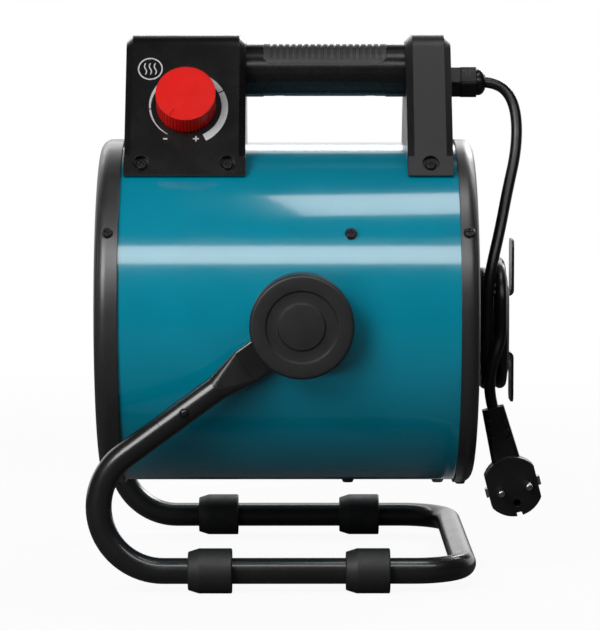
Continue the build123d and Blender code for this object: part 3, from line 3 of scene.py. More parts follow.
import bmesh
import bpy
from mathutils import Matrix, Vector


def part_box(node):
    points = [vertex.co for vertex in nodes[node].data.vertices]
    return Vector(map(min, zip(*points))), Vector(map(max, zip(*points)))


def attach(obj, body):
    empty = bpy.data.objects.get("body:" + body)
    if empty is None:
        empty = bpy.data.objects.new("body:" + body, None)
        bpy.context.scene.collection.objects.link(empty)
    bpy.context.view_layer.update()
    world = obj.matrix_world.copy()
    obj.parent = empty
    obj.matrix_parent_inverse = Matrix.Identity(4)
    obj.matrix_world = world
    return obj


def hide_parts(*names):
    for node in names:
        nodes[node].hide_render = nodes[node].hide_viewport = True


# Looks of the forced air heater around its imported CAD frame.  Places are in
# millimetres from the drum's middle, and lengths in millimetres, unless a
# comment says otherwise.

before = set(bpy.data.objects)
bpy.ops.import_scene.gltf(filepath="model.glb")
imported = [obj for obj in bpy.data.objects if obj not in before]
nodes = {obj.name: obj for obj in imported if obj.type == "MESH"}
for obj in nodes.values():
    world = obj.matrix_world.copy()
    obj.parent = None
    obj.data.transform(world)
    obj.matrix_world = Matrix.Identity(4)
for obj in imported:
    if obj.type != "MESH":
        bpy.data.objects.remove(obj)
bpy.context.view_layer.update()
scene = bpy.context.scene
scene.view_settings.view_transform = "Standard"
MM = 0.001
drum_low, drum_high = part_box("drum_shell")
middle = (drum_low + drum_high) / 2


def place(x, y, z):
    """Point in the scene from millimetres measured from the drum's middle."""
    return middle + Vector((x, y, z)) * MM


# ------------------------------------------------------------------ the camera
camera_at = (0.488, -2121.45, 165.66)
camera_tilt = 0.0793381  # radians, down
camera_pan = 0.0039971  # radians, to the right
camera_lens = 176.52
camera_near = 0.1  # metres
camera_far = 50  # metres

camera_data = bpy.data.cameras.new("camera")
camera_data.lens = camera_lens
camera_data.clip_start = camera_near
camera_data.clip_end = camera_far
camera = bpy.data.objects.new("camera", camera_data)
camera.location = place(*camera_at)
camera.rotation_euler = (pi / 2 - camera_tilt, 0, -camera_pan)
scene.collection.objects.link(camera)
scene.camera = camera

# ---------------------------------------------------------------- the mains lead
cord_d = 7.6
coil_turns = 5
coil_flat = 31.0
coil_inner_bend = 10.0
coil_step = 4.05
coil_top_z = 5.4  # just above the tube's, because the spline cuts inside its bends
coil_low_z = -25.0
coil_climb_rise = 2.85
coil_front_layer_x = 135.5
coil_rear_layer_x = 148.0
coil_rear_fan = 0.68
lead_points = [
    (131.6, 0.0, 157.0),
    (141.5, 0.0, 157.0),
    (152.3, -1.0, 149.8),
    (157.4, -4.0, 134.0),
    (156.6, -10.0, 110.0),
    (150.2, -19.0, 84.0),
    (144.6, -30.0, 58.0),
    (138.4, -39.0, 34.0),
    (135.5, -41.7, 18.0),
]
tail_points = [
    (144.6, -45.75, -3.0),
    (144.6, -45.75, -14.0),
    (140.4, -49.2, -26.4),
    (136.6, -50.4, -39.6),
    (136.6, -50.0, -53.0),
    (138.8, -50.0, -61.7),
]
bend_steps = (15, 45, 75)  # degrees round each quarter of a half turn
cord_roundness = 5  # smoothness of the cord's section
cord_steps = 8  # along each stretch between two points


def coil_columns():
    """Where each upright of the winding stands, inwards in front and outwards behind."""
    spots = [(coil_front_layer_x, k) for k in range(coil_turns - 1, -1, -1)]
    spots += [(coil_rear_layer_x - coil_rear_fan * k, k) for k in range(coil_turns + 1)]
    return [
        (x, (1 if i % 2 else -1) * (coil_flat / 2 + coil_inner_bend + coil_step * k))
        for i, (x, k) in enumerate(spots)
    ]


def coil_points():
    """Control points of the half turns, low and high by turns."""
    columns = coil_columns()
    points = []
    for i, (start, end) in enumerate(zip(columns, columns[1:])):
        chord = hypot(end[0] - start[0], end[1] - start[1])
        bend = (chord - coil_flat) / 2
        reach = bend / cos(radians(bend_steps[0]))
        low = i % 2 == 0
        climb = coil_climb_rise if i == coil_turns - 1 else 0
        level = coil_low_z + climb if low else coil_top_z
        turns = [(bend - reach * cos(radians(a)), reach * sin(radians(a))) for a in bend_steps]
        turns += [(chord - along, rise) for along, rise in reversed(turns)]
        for along, rise in turns:
            share = along / chord
            x = start[0] + (end[0] - start[0]) * share
            y = start[1] + (end[1] - start[1]) * share
            points.append((x, y, level - rise if low else level + rise))
    return points


def smooth_line(name, points, radius):
    """A round cord on one open NURBS spline with these control points."""
    data = bpy.data.curves.new(name, "CURVE")
    data.dimensions = "3D"
    data.bevel_depth = 1.0  # times each point's radius, which bounds the curve too
    data.bevel_resolution = cord_roundness
    data.resolution_u = cord_steps
    data.use_fill_caps = True
    spline = data.splines.new("NURBS")
    spline.points.add(len(points) - 1)
    for spot, point in zip(spline.points, points):
        spot.co = (*place(*point), 1)
        spot.radius = radius * MM
    spline.order_u = 3
    spline.use_endpoint_u = True
    spline.use_smooth = True
    piece = bpy.data.objects.new(name, data)
    scene.collection.objects.link(piece)
    return piece


mains_lead = smooth_line("mains_lead", lead_points + coil_points() + tail_points, cord_d / 2)
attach(mains_lead, "heater")
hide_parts("cord_lead", "cord_coil", "cord_tail")


# --------------------------------------------------------------- mesh helpers
def piece_from(name, work, body, smooth=True):
    """A mesh piece from a bmesh, riding on a body."""
    data = bpy.data.meshes.new(name)
    bmesh.ops.recalc_face_normals(work, faces=work.faces)
    for face in work.faces:
        face.smooth = smooth
    work.to_mesh(data)
    work.free()
    piece = bpy.data.objects.new(name, data)
    scene.collection.objects.link(piece)
    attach(piece, body)
    return piece


def lathe(work, profile, centre, axis, side, steps):
    """Turns a profile of (radius, out) round an axis, where out runs along it."""
    rings = []
    for radius, out in profile:
        if radius == 0:
            rings.append([work.verts.new(centre + axis * (out * MM))])
            continue
        ring = []
        for i in range(steps):
            turn = 2 * pi * i / steps
            across = side * cos(turn) + axis.cross(side) * sin(turn)
            ring.append(work.verts.new(centre + across * (radius * MM) + axis * (out * MM)))
        rings.append(ring)
    for low, high in zip(rings, rings[1:]):
        for i in range(steps):
            j = (i + 1) % steps
            if len(low) == 1:
                work.faces.new((low[0], high[i], high[j]))
            elif len(high) == 1:
                work.faces.new((low[i], high[0], low[j]))
            else:
                work.faces.new((low[i], high[i], high[j], low[j]))


arc_step = 15  # degrees between points of a rounded corner


def rounded(corners):
    """Profile with its corners rounded: each corner is (radius, out, rounding)."""
    line = []
    for i, (r, o, rounding) in enumerate(corners):
        if not rounding:
            line.append((r, o))
            continue
        here = Vector((r, o))
        before = Vector(corners[i - 1][:2])
        after = Vector(corners[i + 1][:2])
        inward = (before - here).normalized()
        outward = (after - here).normalized()
        half = inward.angle(outward) / 2
        run = rounding / tan(half)
        middle_way = (inward + outward).normalized()
        hub = here + middle_way * (rounding / sin(half))
        first = here + inward * run - hub
        last = here + outward * run - hub
        sweep = first.angle(last)
        steps = max(2, int(round(sweep / radians(arc_step))))
        for k in range(steps + 1):
            share = k / steps
            spot = (first * sin((1 - share) * sweep) + last * sin(share * sweep)) / sin(sweep)
            line.append(tuple(hub + spot))
    return line


# ------------------------------------------------------------------ tilt knobs
knob_r = 34.0
knob_edge = 2.2  # rounding of the face's rim
knob_bore_r = 4.1
knob_bore_seen = 1.0  # depth of the bore's wall from the back
back_bevel_in = 1.2
back_bevel_up = 1.6
back_bevel_soft = 0.6
back_rim_soft = 1.2
groove_outer = 23.5
groove_inner = 15.0
groove_depth = 1.2
groove_draft = 0.5
groove_soft = 0.55
knob_steps = 160


def tilt_knob(label, side):
    """Moulded knob with a ring groove in its face; side is the way it looks along Y."""
    node = "tilt_knob_" + label
    low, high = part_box(node)
    back = low.y if side > 0 else high.y
    centre = Vector(((low.x + high.x) / 2, back, (low.z + high.z) / 2))
    face = abs((high.y - low.y) / MM)  # the whole depth of the node, its stud included
    floor_level = face - groove_depth
    profile = [
        (knob_bore_r, knob_bore_seen, 0),
        (knob_bore_r, 0, 0),
        (knob_r - back_bevel_in, 0, back_bevel_soft),
        (knob_r, back_bevel_up, back_rim_soft),
        (knob_r, face, knob_edge),
        (groove_outer, face, groove_soft),
        (groove_outer - groove_draft, floor_level, groove_soft),
        (groove_inner + groove_draft, floor_level, groove_soft),
        (groove_inner, face, groove_soft),
        (0, face, 0),
    ]
    work = bmesh.new()
    lathe(work, rounded(profile), centre, Vector((0, side, 0)), Vector((1, 0, 0)), knob_steps)
    knob = piece_from("knob_dress_" + label, work, node)
    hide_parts(node)
    return knob


knobs = [tilt_knob("near", -1), tilt_knob("far", 1)]

# --------------------------------------------------------------- the gland's nut
gland_z = 157.0
nut_start = 118.6
nut_length = 10.8
nut_end = nut_start + nut_length
nut_flats = 20.6
nut_corner_share = 0.94  # of the sharp corners' distance, where they are cut
nut_edge = 0.35
nut_ribs = 60  # fine grip ribs round the nut
rib_depth = 0.22
dome_r = 9.0
dome_end = 135.6
dome_steps = ((0, 0), (2.0, 0), (3.4, -0.45), (4.5, -1.25), (5.4, -2.4))  # (along, change of radius)
dome_mouth = -3.9  # change of radius at the dome's end
bore_clear = 0.15
bore_r = cord_d / 2 + bore_clear
bore_lip = 0.05
bore_seen = 4.0  # depth of the bore's wall from the dome's end
gland_steps = 360


def hexagon(turn):
    """Distance from the middle to the nut's hexagon with cut corners, at an angle."""
    within = (turn + pi / 6) % (pi / 3) - pi / 6
    return min(nut_flats / 2 / cos(within), nut_flats / 2 / cos(pi / 6) * nut_corner_share)


def gland_radius(kind, change, turn):
    """Distance from the gland's axis to its surface, at an angle."""
    if kind == "bore":
        return bore_r
    if kind == "dome":
        return dome_r + change
    radius = hexagon(turn) + change
    if change == 0:
        radius -= rib_depth * (0.5 + 0.5 * cos(turn * nut_ribs))
    return radius


def gland_cap():
    """Ribbed nut and dome that the lead comes out of, open along its bore."""
    sections = [
        (nut_start, "bore", 0),
        (nut_start, "nut", -nut_edge),
        (nut_start + nut_edge, "nut", 0),
        (nut_end - nut_edge, "nut", 0),
        (nut_end, "nut", -nut_edge),
    ]
    sections += [(nut_end + along, "dome", change) for along, change in dome_steps]
    sections += [
        (dome_end, "dome", dome_mouth),
        (dome_end - bore_lip, "bore", 0),
        (dome_end - bore_seen, "bore", 0),
    ]
    work = bmesh.new()
    rings = []
    for x, kind, change in sections:
        ring = []
        for i in range(gland_steps):
            turn = 2 * pi * i / gland_steps
            radius = gland_radius(kind, change, turn)
            spot = place(x, radius * sin(turn), gland_z + radius * cos(turn))
            ring.append(work.verts.new(spot))
        rings.append(ring)
    for low, high in zip(rings, rings[1:]):
        for i in range(gland_steps):
            j = (i + 1) % gland_steps
            work.faces.new((low[i], high[i], high[j], low[j]))
    return piece_from("gland_cap", work, "heater", smooth=False)


gland = gland_cap()
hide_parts("gland_nut")

# ------------------------------------------------- print on the control panel
panel_top_y = -20.0  # near edge of the housings' top, before its rounding
box_low, box_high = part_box("control_box")
foot_y, foot_z = [(box_low - middle)[i] / MM for i in (1, 2)]
panel_slope = atan2(panel_top_y - foot_y, (box_high - box_low).z / MM)
panel_out = Vector((0, -cos(panel_slope), sin(panel_slope)))
panel_up = Vector((0, sin(panel_slope), cos(panel_slope)))
print_sink = -0.05  # the print's back, just inside the panel
print_thick = 0.12
dial_up = 51.5  # up the slope from the panel's foot
dial_low, dial_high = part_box("dial_knob")
dial_at = (((dial_low + dial_high) / 2 - middle).x / MM, dial_up)


def panel_point(x, up, out):
    """Point on the near panel: x from the drum's middle, up the slope from its foot."""
    return place(x, foot_y, foot_z) + (panel_up * up + panel_out * out) * MM


def slab(work, outline, thick):
    """Thin raised shape on the near panel from (x, up) points in order."""
    low = [work.verts.new(panel_point(x, up, print_sink)) for x, up in outline]
    high = [work.verts.new(panel_point(x, up, thick)) for x, up in outline]
    work.faces.new(high)
    work.faces.new(list(reversed(low)))
    for i in range(len(outline)):
        j = (i + 1) % len(outline)
        work.faces.new((low[i], low[j], high[j], high[i]))


def strip(work, line, width, thick=print_thick):
    """Thin raised band of even width along (x, up) points."""
    for start, end in zip(line, line[1:]):
        a, b = Vector(start), Vector(end)
        run = b - a
        side = Vector((-run.y, run.x)).normalized() * (width / 2)
        slab(work, [tuple(a - side), tuple(b - side), tuple(b + side), tuple(a + side)], thick)


def arc_band(work, centre, inner, outer, start, end, steps):
    """Band round a centre between two clock angles; inner and outer are (at start, at end)."""
    rows_in, rows_out = [], []
    for k in range(steps + 1):
        share = k / steps
        turn = radians(start + (end - start) * share)
        low_r = inner[0] + (inner[1] - inner[0]) * share
        high_r = outer[0] + (outer[1] - outer[0]) * share
        rows_in.append((centre[0] + low_r * sin(turn), centre[1] + low_r * cos(turn)))
        rows_out.append((centre[0] + high_r * sin(turn), centre[1] + high_r * cos(turn)))
    rings = [
        [[work.verts.new(panel_point(x, up, out)) for x, up in row] for row in (rows_in, rows_out)]
        for out in (print_sink, print_thick)
    ]
    (low_in, low_out), (high_in, high_out) = rings
    for k in range(steps):
        work.faces.new((high_in[k], high_in[k + 1], high_out[k + 1], high_out[k]))
        work.faces.new((low_in[k], low_out[k], low_out[k + 1], low_in[k + 1]))
        work.faces.new((low_in[k], low_in[k + 1], high_in[k + 1], high_in[k]))
        work.faces.new((low_out[k], high_out[k], high_out[k + 1], low_out[k + 1]))
    for k in (0, steps):
        work.faces.new((low_in[k], high_in[k], high_out[k], low_out[k]))


scale_inner = 23.7
scale_start = 211.0  # clock angles, 0 up the panel, growing to the right
scale_end = 512.0
scale_width = (0.45, 5.2)
scale_gaps = (266.0, 424.0)
scale_gap = 1.1  # degrees left open each side of a gap
scale_steps = 90


def scale_outer(turn):
    """Outer radius of the scale, which grows with the heat."""
    share = (turn - scale_start) / (scale_end - scale_start)
    return scale_inner + scale_width[0] + (scale_width[1] - scale_width[0]) * share


def scale_print():
    """Arc round the dial in three stretches, wider towards the hot end."""
    work = bmesh.new()
    edges = [scale_start, *scale_gaps, scale_end]
    for first, last in zip(edges, edges[1:]):
        begin = first + (scale_gap if first != scale_start else 0)
        stop = last - (scale_gap if last != scale_end else 0)
        outer = (scale_outer(begin), scale_outer(stop))
        arc_band(work, dial_at, (scale_inner, scale_inner), outer, begin, stop, scale_steps)
    return piece_from("dial_scale", work, "heater", smooth=False)


minus_at = (-81.2, 27.4)  # x, and up the slope from the panel's foot
plus_at = (-60.7, 27.4)
minus_half = 1.4
plus_half = 2.0
mark_width = 1.1
plus_width = mark_width * 0.8
plus_upright_thick = print_thick * 1.1  # just proud, so that the plus's two faces aren't level


def marks_print():
    """Minus and plus at the scale's two ends."""
    (minus_x, minus_up), (plus_x, plus_up) = minus_at, plus_at
    work = bmesh.new()
    strip(work, [(minus_x - minus_half, minus_up), (minus_x + minus_half, minus_up)], mark_width)
    strip(work, [(plus_x - plus_half, plus_up), (plus_x + plus_half, plus_up)], plus_width)
    upright = [(plus_x, plus_up - plus_half), (plus_x, plus_up + plus_half)]
    strip(work, upright, plus_width, plus_upright_thick)
    return piece_from("dial_marks", work, "heater", smooth=False)


heat_at = (-92.0, 80.2)  # x, and up the slope from the panel's foot
heat_r = 8.4
heat_line = 0.95
heat_steps = 120
heat_round = 359.99  # degrees, short of a whole turn so that the ends stay apart
wave_places = (-3.3, 0.0, 3.3)
wave_swing = 0.75
wave_half = 4.2
wave_steps = 20
wave_line = heat_line * 0.85


def heat_print():
    """Generic sign for warm air: a ring round three rising waves."""
    work = bmesh.new()
    ring_inner = heat_r - heat_line
    arc_band(work, heat_at, (ring_inner, ring_inner), (heat_r, heat_r), 0, heat_round, heat_steps)
    for shift in wave_places:
        wave = []
        for k in range(wave_steps + 1):
            x = heat_at[0] + shift + wave_swing * sin(k / wave_steps * 2 * pi)
            wave.append((x, heat_at[1] - wave_half + 2 * wave_half * k / wave_steps))
        strip(work, wave, wave_line)
    return piece_from("heat_sign", work, "heater", smooth=False)


printed = [scale_print(), marks_print(), heat_print()]


# ------------------------------------------------------------------- materials
noise_low = 0.3  # the stretch of a noise's values that is spread over a range
noise_high = 0.7
rough_detail = 3.0
bevel_samples = 4


class Finish:
    """A Principled material with procedural detail in metres on the piece."""

    def __init__(self, name, colour, rough, metallic=0.0, coat=0.0, coat_rough=0.1, specular=0.5):
        self.material = bpy.data.materials.new(name)
        self.material.use_nodes = True
        self.nodes = self.material.node_tree.nodes
        self.links = self.material.node_tree.links
        self.shader = self.nodes["Principled BSDF"]
        self.set("Base Color", (*colour, 1))
        self.set("Metallic", metallic)
        self.set("Roughness", rough)
        self.set("Coat Weight", coat)
        self.set("Coat Roughness", coat_rough)
        self.set("Specular IOR Level", specular)
        self.coords = self.nodes.new("ShaderNodeTexCoord").outputs["Object"]
        self.rough = rough
        self.colour = colour

    def set(self, socket, value):
        self.shader.inputs[socket].default_value = value

    def noise(self, scale, detail=2.0, stretch=None):
        """Noise with this many cells to the metre."""
        source = self.coords
        if stretch:
            mapping = self.nodes.new("ShaderNodeMapping")
            mapping.inputs["Scale"].default_value = stretch
            self.links.new(source, mapping.inputs["Vector"])
            source = mapping.outputs["Vector"]
        node = self.nodes.new("ShaderNodeTexNoise")
        node.inputs["Scale"].default_value = scale
        node.inputs["Detail"].default_value = detail
        self.links.new(source, node.inputs["Vector"])
        return node.outputs["Fac"]

    def cells(self, scale):
        """Distance to the middles of small cells, for moulded grain."""
        node = self.nodes.new("ShaderNodeTexVoronoi")
        node.inputs["Scale"].default_value = scale
        self.links.new(self.coords, node.inputs["Vector"])
        return node.outputs["Distance"]

    def spread(self, value, low, high):
        """Maps a noise value to a range."""
        node = self.nodes.new("ShaderNodeMapRange")
        node.inputs["From Min"].default_value = noise_low
        node.inputs["From Max"].default_value = noise_high
        node.inputs["To Min"].default_value = low
        node.inputs["To Max"].default_value = high
        self.links.new(value, node.inputs["Value"])
        return node.outputs["Result"]

    def vary_rough(self, scale, amount, stretch=None):
        """Roughness that wanders either side of its middle value."""
        noise = self.noise(scale, rough_detail, stretch)
        value = self.spread(noise, self.rough - amount, self.rough + amount)
        self.links.new(value, self.shader.inputs["Roughness"])

    def vary_colour(self, scale, dark, light, detail=3.0):
        """Base colour that wanders between two shades of itself."""
        node = self.nodes.new("ShaderNodeMix")
        node.data_type = "RGBA"
        node.inputs["A"].default_value = (*[c * dark for c in self.colour], 1)
        node.inputs["B"].default_value = (*[min(1, c * light) for c in self.colour], 1)
        self.links.new(self.spread(self.noise(scale, detail), 0, 1), node.inputs["Factor"])
        self.links.new(node.outputs["Result"], self.shader.inputs["Base Color"])

    def relief(self, layers, edge=0.5, coat_too=False):
        """Bump layers of (height, strength, distance in mm) over softly rounded edges."""
        bevel = self.nodes.new("ShaderNodeBevel")
        bevel.samples = bevel_samples
        bevel.inputs["Radius"].default_value = edge * MM
        normal = bevel.outputs["Normal"]
        for height, strength, distance in layers:
            bump = self.nodes.new("ShaderNodeBump")
            bump.inputs["Strength"].default_value = strength
            bump.inputs["Distance"].default_value = distance * MM
            self.links.new(height, bump.inputs["Height"])
            self.links.new(normal, bump.inputs["Normal"])
            normal = bump.outputs["Normal"]
        self.links.new(normal, self.shader.inputs["Normal"])
        if coat_too:
            self.links.new(normal, self.shader.inputs["Coat Normal"])


finishes = {}


def finish_for(slot, colour, rough, **settings):
    """The finish of every piece whose record names this slot."""
    finishes[slot] = Finish(slot + "_finish", colour, rough, **settings)
    return finishes[slot]


teal = finish_for("drum_teal", (0.0, 0.2, 0.29), 0.18, coat=1.0, coat_rough=0.08)
teal.vary_rough(45, 0.025)
teal.vary_colour(28, 0.96, 1.04)
teal.relief([(teal.noise(160), 0.05, 0.3), (teal.noise(900, 1.0), 0.035, 0.12)], 0.4, True)

plastic = finish_for("black_plastic", (0.0045, 0.0045, 0.0048), 0.27, specular=0.3)
plastic.vary_rough(60, 0.03)
plastic.vary_colour(220, 0.9, 1.1)
plastic.relief([(plastic.cells(1500), 0.16, 0.08), (plastic.noise(90), 0.04, 0.3)], 0.8)

rubber = finish_for("black_rubber", (0.012, 0.012, 0.0122), 0.55)
rubber.vary_rough(130, 0.06)
rubber.vary_colour(300, 0.85, 1.2)
rubber.relief([(rubber.noise(1800), 0.2, 0.12), (rubber.noise(140), 0.08, 0.3)], 0.9)

grip = finish_for("grip_rubber", (0.016, 0.016, 0.0165), 0.5)
grip.vary_rough(160, 0.06)
grip.relief([(grip.noise(2000), 0.18, 0.1)], 0.45)

red = finish_for("dial_red", (0.6, 0.006, 0.003), 0.4, specular=0.2)
red.set("Subsurface Weight", 0.7)
red.set("Subsurface Radius", (0.009, 0.0007, 0.0004))
red.set("Subsurface Scale", 1.0)
red.vary_rough(120, 0.04)
red.vary_colour(60, 0.96, 1.04)
red.relief([(red.cells(1800), 0.1, 0.06)], 0.4)

tube = finish_for("tube_black", (0.009, 0.009, 0.0095), 0.3, coat=0.55, coat_rough=0.13)
tube.vary_rough(80, 0.03)
tube.vary_colour(40, 0.9, 1.12)
tube.relief([(tube.noise(700, 1.0), 0.05, 0.12), (tube.noise(130), 0.04, 0.3)], 0.6, True)

wire = finish_for("wire_black", (0.012, 0.012, 0.0125), 0.38, coat=0.15)
wire.vary_rough(200, 0.05)
wire.relief([(wire.noise(1200), 0.08, 0.1)], 0.4)

screws = finish_for("black_screws", (0.055, 0.056, 0.06), 0.24, metallic=0.85)
screws.vary_rough(900, 0.07)
screws.relief([(screws.noise(3000), 0.12, 0.05)], 0.25)

zinc = finish_for("zinc_steel", (0.5, 0.51, 0.52), 0.3, metallic=1.0)
zinc.vary_rough(500, 0.1)
zinc.vary_colour(300, 0.85, 1.1)
zinc.relief([(zinc.noise(2200), 0.08, 0.05)], 0.3)

spring = finish_for("spring_steel", (0.3, 0.3, 0.31), 0.28, metallic=1.0)
spring.vary_rough(900, 0.08)
spring.vary_colour(500, 0.8, 1.15)
spring.relief([(spring.noise(2500), 0.08, 0.04)], 0.25)

element = finish_for("element_steel", (0.3, 0.26, 0.22), 0.42, metallic=0.9)
element.vary_rough(260, 0.1)
element.vary_colour(55, 0.6, 1.3)
element.relief([(element.noise(1500), 0.15, 0.06)], 0.3)

shield = finish_for("shield_steel", (0.55, 0.56, 0.57), 0.4, metallic=1.0)
shield.vary_rough(70, 0.12)
shield.vary_colour(90, 0.72, 1.1, detail=6.0)
shield.relief([(shield.noise(60, 4.0), 0.06, 0.3)], 0.4)

aluminium = finish_for("fan_aluminium", (0.62, 0.63, 0.64), 0.36, metallic=1.0)
aluminium.vary_rough(300, 0.08, stretch=(1, 1, 8))
aluminium.vary_colour(200, 0.88, 1.05)
aluminium.relief([(aluminium.noise(900, stretch=(1, 1, 10)), 0.06, 0.08)], 0.4)

motor = finish_for("motor_grey", (0.05, 0.053, 0.056), 0.45)
motor.vary_rough(200, 0.08)
motor.vary_colour(120, 0.85, 1.15)
motor.relief([(motor.noise(700), 0.15, 0.12)], 0.5)

ceramic = finish_for("white_ceramic", (0.66, 0.64, 0.6), 0.35)
ceramic.vary_rough(300, 0.06)
ceramic.vary_colour(250, 0.94, 1.03)
ceramic.relief([(ceramic.noise(900), 0.06, 0.06)], 0.3)

sheath = finish_for("cord_black", (0.0055, 0.0055, 0.006), 0.33, specular=0.4)
sheath.vary_rough(180, 0.05)
sheath.vary_colour(200, 0.88, 1.15)
sheath.relief([(sheath.noise(1600), 0.12, 0.07), (sheath.noise(110), 0.06, 0.25)], 0.5)

pins = finish_for("pin_brass", (0.55, 0.54, 0.52), 0.22, metallic=1.0)
pins.vary_rough(900, 0.07)
pins.vary_colour(600, 0.88, 1.08)
pins.relief([(pins.noise(2600), 0.06, 0.04)], 0.25)

satin = Finish("knob_satin", (0.013, 0.013, 0.0135), 0.46, specular=0.45)
satin.vary_rough(120, 0.04)
satin.vary_colour(260, 0.9, 1.12)
satin.relief([(satin.cells(1700), 0.14, 0.07), (satin.noise(100), 0.04, 0.3)], 0.5)

bezel = Finish("ring_satin", (0.016, 0.016, 0.0165), 0.38, specular=0.9)
bezel.vary_rough(90, 0.03)
bezel.vary_colour(240, 0.92, 1.1)
bezel.relief([(bezel.cells(1500), 0.12, 0.07), (bezel.noise(90), 0.04, 0.3)], 0.8)

pillar = Finish("post_satin", (0.0065, 0.0065, 0.007), 0.44, specular=0.4)
pillar.vary_rough(110, 0.04)
pillar.vary_colour(230, 0.9, 1.12)
pillar.relief([(pillar.cells(1600), 0.14, 0.07), (pillar.noise(95), 0.04, 0.3)], 0.8)

ink = Finish("print_ink", (0.42, 0.42, 0.43), 0.5)
ink.vary_colour(900, 0.88, 1.08)
ink.vary_rough(500, 0.06)
ink.relief([(ink.noise(2500), 0.08, 0.03)], 0.05)

own_finishes = {  # nodes that differ from the finish of their slot
    "rear_post": pillar,
    "front_ring": bezel,
    "rear_ring": bezel,
    "button_near": screws,
    "button_far": screws,
}
for name, node in nodes.items():
    for spot in node.material_slots:
        slot_name = spot.material.name.split(".")[0]
        spot.material = own_finishes.get(name, finishes[slot_name]).material
for piece in printed:
    piece.data.materials.append(ink.material)
mains_lead.data.materials.append(sheath.material)
for knob in knobs:
    knob.data.materials.append(satin.material)
gland.data.materials.append(plastic.material)

# -------------------------------------------------------------- floor and world
floor_r = 2.4  # metres
floor_sides = 96
floor_fade = (0.35, 1.6)  # metres from the middle, shadow to plain white
floor_white = 0.93  # share of plain white where the floor keeps the shadow
floor_pale = 0.86
floor_dim = 0.08  # the floor for all rays but the camera's
ambient_colour = (0.95, 0.98, 1, 1)
ambient_strength = 0.04
backdrop_from = (0.45, 0.68)  # how far a mirrored direction points back, dim to white
backdrop_dim = 0.025


def shader_node(tree, kind, **inputs):
    """A node with these socket values; an underscore stands for a space in a name."""
    made = tree.nodes.new(kind)
    for socket, value in inputs.items():
        made.inputs[socket.replace("_", " ")].default_value = value
    return made


def smooth_ramp(tree, value, start, end, low, high):
    """Goes smoothly from low to high while the value goes from start to end."""
    ramp = shader_node(
        tree, "ShaderNodeMapRange", From_Min=start, From_Max=end, To_Min=low, To_Max=high
    )
    ramp.interpolation_type = "SMOOTHSTEP"
    tree.links.new(value, ramp.inputs["Value"])
    return ramp.outputs["Result"]


def mix_shaders(tree, share, first, second):
    """The first shader where the share is 0 and the second where it is 1."""
    mix = tree.nodes.new("ShaderNodeMixShader")
    tree.links.new(share, mix.inputs["Fac"])
    tree.links.new(first, mix.inputs[1])
    tree.links.new(second, mix.inputs[2])
    return mix.outputs["Shader"]


def floor_finish():
    """Pale floor that fades to plain white, and is dim for all but the camera's rays."""
    look = bpy.data.materials.new("floor_white")
    look.use_nodes = True
    tree = look.node_tree
    tree.nodes.clear()
    output = tree.nodes.new("ShaderNodeOutputMaterial")
    pale = shader_node(tree, "ShaderNodeBsdfDiffuse", Color=(floor_pale, floor_pale, floor_pale, 1))
    dim = shader_node(tree, "ShaderNodeBsdfDiffuse", Color=(floor_dim, floor_dim, floor_dim, 1))
    white = shader_node(tree, "ShaderNodeEmission", Color=(1, 1, 1, 1), Strength=1.0)
    rays = tree.nodes.new("ShaderNodeLightPath")
    coords = tree.nodes.new("ShaderNodeTexCoord")
    distance = tree.nodes.new("ShaderNodeVectorMath")
    distance.operation = "LENGTH"
    tree.links.new(coords.outputs["Object"], distance.inputs[0])
    fade = smooth_ramp(tree, distance.outputs["Value"], *floor_fade, floor_white, 1.0)
    seen = mix_shaders(tree, fade, pale.outputs["BSDF"], white.outputs["Emission"])
    pick = mix_shaders(tree, rays.outputs["Is Camera Ray"], dim.outputs["BSDF"], seen)
    tree.links.new(pick, output.inputs["Surface"])
    return look


floor_mesh = bpy.data.meshes.new("floor")
work = bmesh.new()
bmesh.ops.create_circle(work, cap_ends=True, segments=floor_sides, radius=floor_r)
work.to_mesh(floor_mesh)
work.free()
floor = bpy.data.objects.new("floor", floor_mesh)
scene.collection.objects.link(floor)
floor_mesh.materials.append(floor_finish())


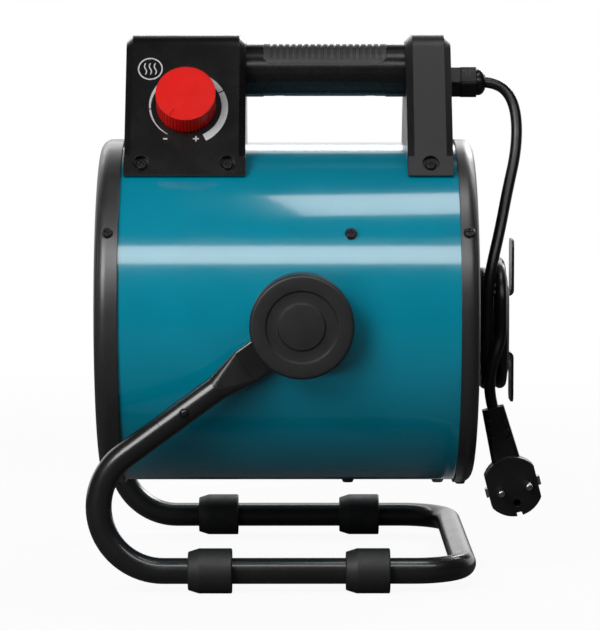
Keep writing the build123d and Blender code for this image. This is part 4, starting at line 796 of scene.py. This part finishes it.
def studio_world():
    """White for the camera, a faint even light, and a white backdrop for reflections."""
    world = bpy.data.worlds.new("studio")
    world.use_nodes = True
    tree = world.node_tree
    tree.nodes.clear()
    output = tree.nodes.new("ShaderNodeOutputWorld")
    rays = tree.nodes.new("ShaderNodeLightPath")
    ambient = shader_node(
        tree, "ShaderNodeBackground", Color=ambient_colour, Strength=ambient_strength
    )
    backdrop = shader_node(tree, "ShaderNodeBackground", Color=(1, 1, 1, 1), Strength=1.0)
    mirrored = shader_node(tree, "ShaderNodeBackground", Strength=1.0)
    coords = tree.nodes.new("ShaderNodeTexCoord")
    direction = tree.nodes.new("ShaderNodeSeparateXYZ")
    tree.links.new(coords.outputs["Generated"], direction.inputs["Vector"])
    behind = smooth_ramp(tree, direction.outputs["Y"], *backdrop_from, backdrop_dim, 1.0)
    tree.links.new(behind, mirrored.inputs["Color"])
    shine = tree.nodes.new("ShaderNodeMath")
    shine.operation = "MAXIMUM"
    tree.links.new(rays.outputs["Is Glossy Ray"], shine.inputs[0])
    tree.links.new(rays.outputs["Is Transmission Ray"], shine.inputs[1])
    lit = mix_shaders(
        tree, shine.outputs["Value"], ambient.outputs["Background"], mirrored.outputs["Background"]
    )
    seen = mix_shaders(tree, rays.outputs["Is Camera Ray"], lit, backdrop.outputs["Background"])
    tree.links.new(seen, output.inputs["Surface"])
    return world


scene.world = studio_world()


# ------------------------------------------------------------------------ lamps
def softbox(name, at, aim, size, power, mirrored=True, diffused=True):
    """A rectangular lamp of this size in metres, with its power in watts."""
    data = bpy.data.lights.new(name, "AREA")
    data.shape = "RECTANGLE"
    data.size, data.size_y = size
    data.energy = power
    lamp = bpy.data.objects.new(name, data)
    lamp.location = place(*at)
    facing = place(*aim) - lamp.location
    lamp.rotation_euler = facing.to_track_quat("-Z", "Y").to_euler()
    lamp.visible_camera = False
    lamp.visible_glossy = mirrored
    lamp.visible_diffuse = diffused
    scene.collection.objects.link(lamp)


# strip in front, at the height that the drum mirrors as its middle band
strip_distance = 600.0
strip_rise = radians(38.5)
strip_x = 20
strip_size = (1.0, 0.12)
strip_aim = (strip_x, 0, 50)
strip_at = (strip_x, -strip_distance * cos(strip_rise), strip_distance * sin(strip_rise))
softbox("front_strip", strip_at, strip_aim, strip_size, 2.0)

# short band above the strip's, which shows only in reflections
softbox("upper_band", (165, -168, 667), (150, -79, 74), (0.34, 0.2), 0.95, diffused=False)

# soft light from the front left, and from low down to fill the shadows
softbox("key", (-900, -1500, 900), (-20, 0, 0), (0.8, 0.8), 17.0)
softbox("low_fill", (-900, -1300, -60), (0, 0, -50), (0.8, 0.3), 8.5, mirrored=False)

# soft light and a strip from behind, for the far side
softbox("back_key", (900, 1500, 1000), (0, 0, 0), (0.8, 0.8), 17.0)
softbox("back_strip", (strip_x, 470, 374), strip_aim, strip_size, 1.6)
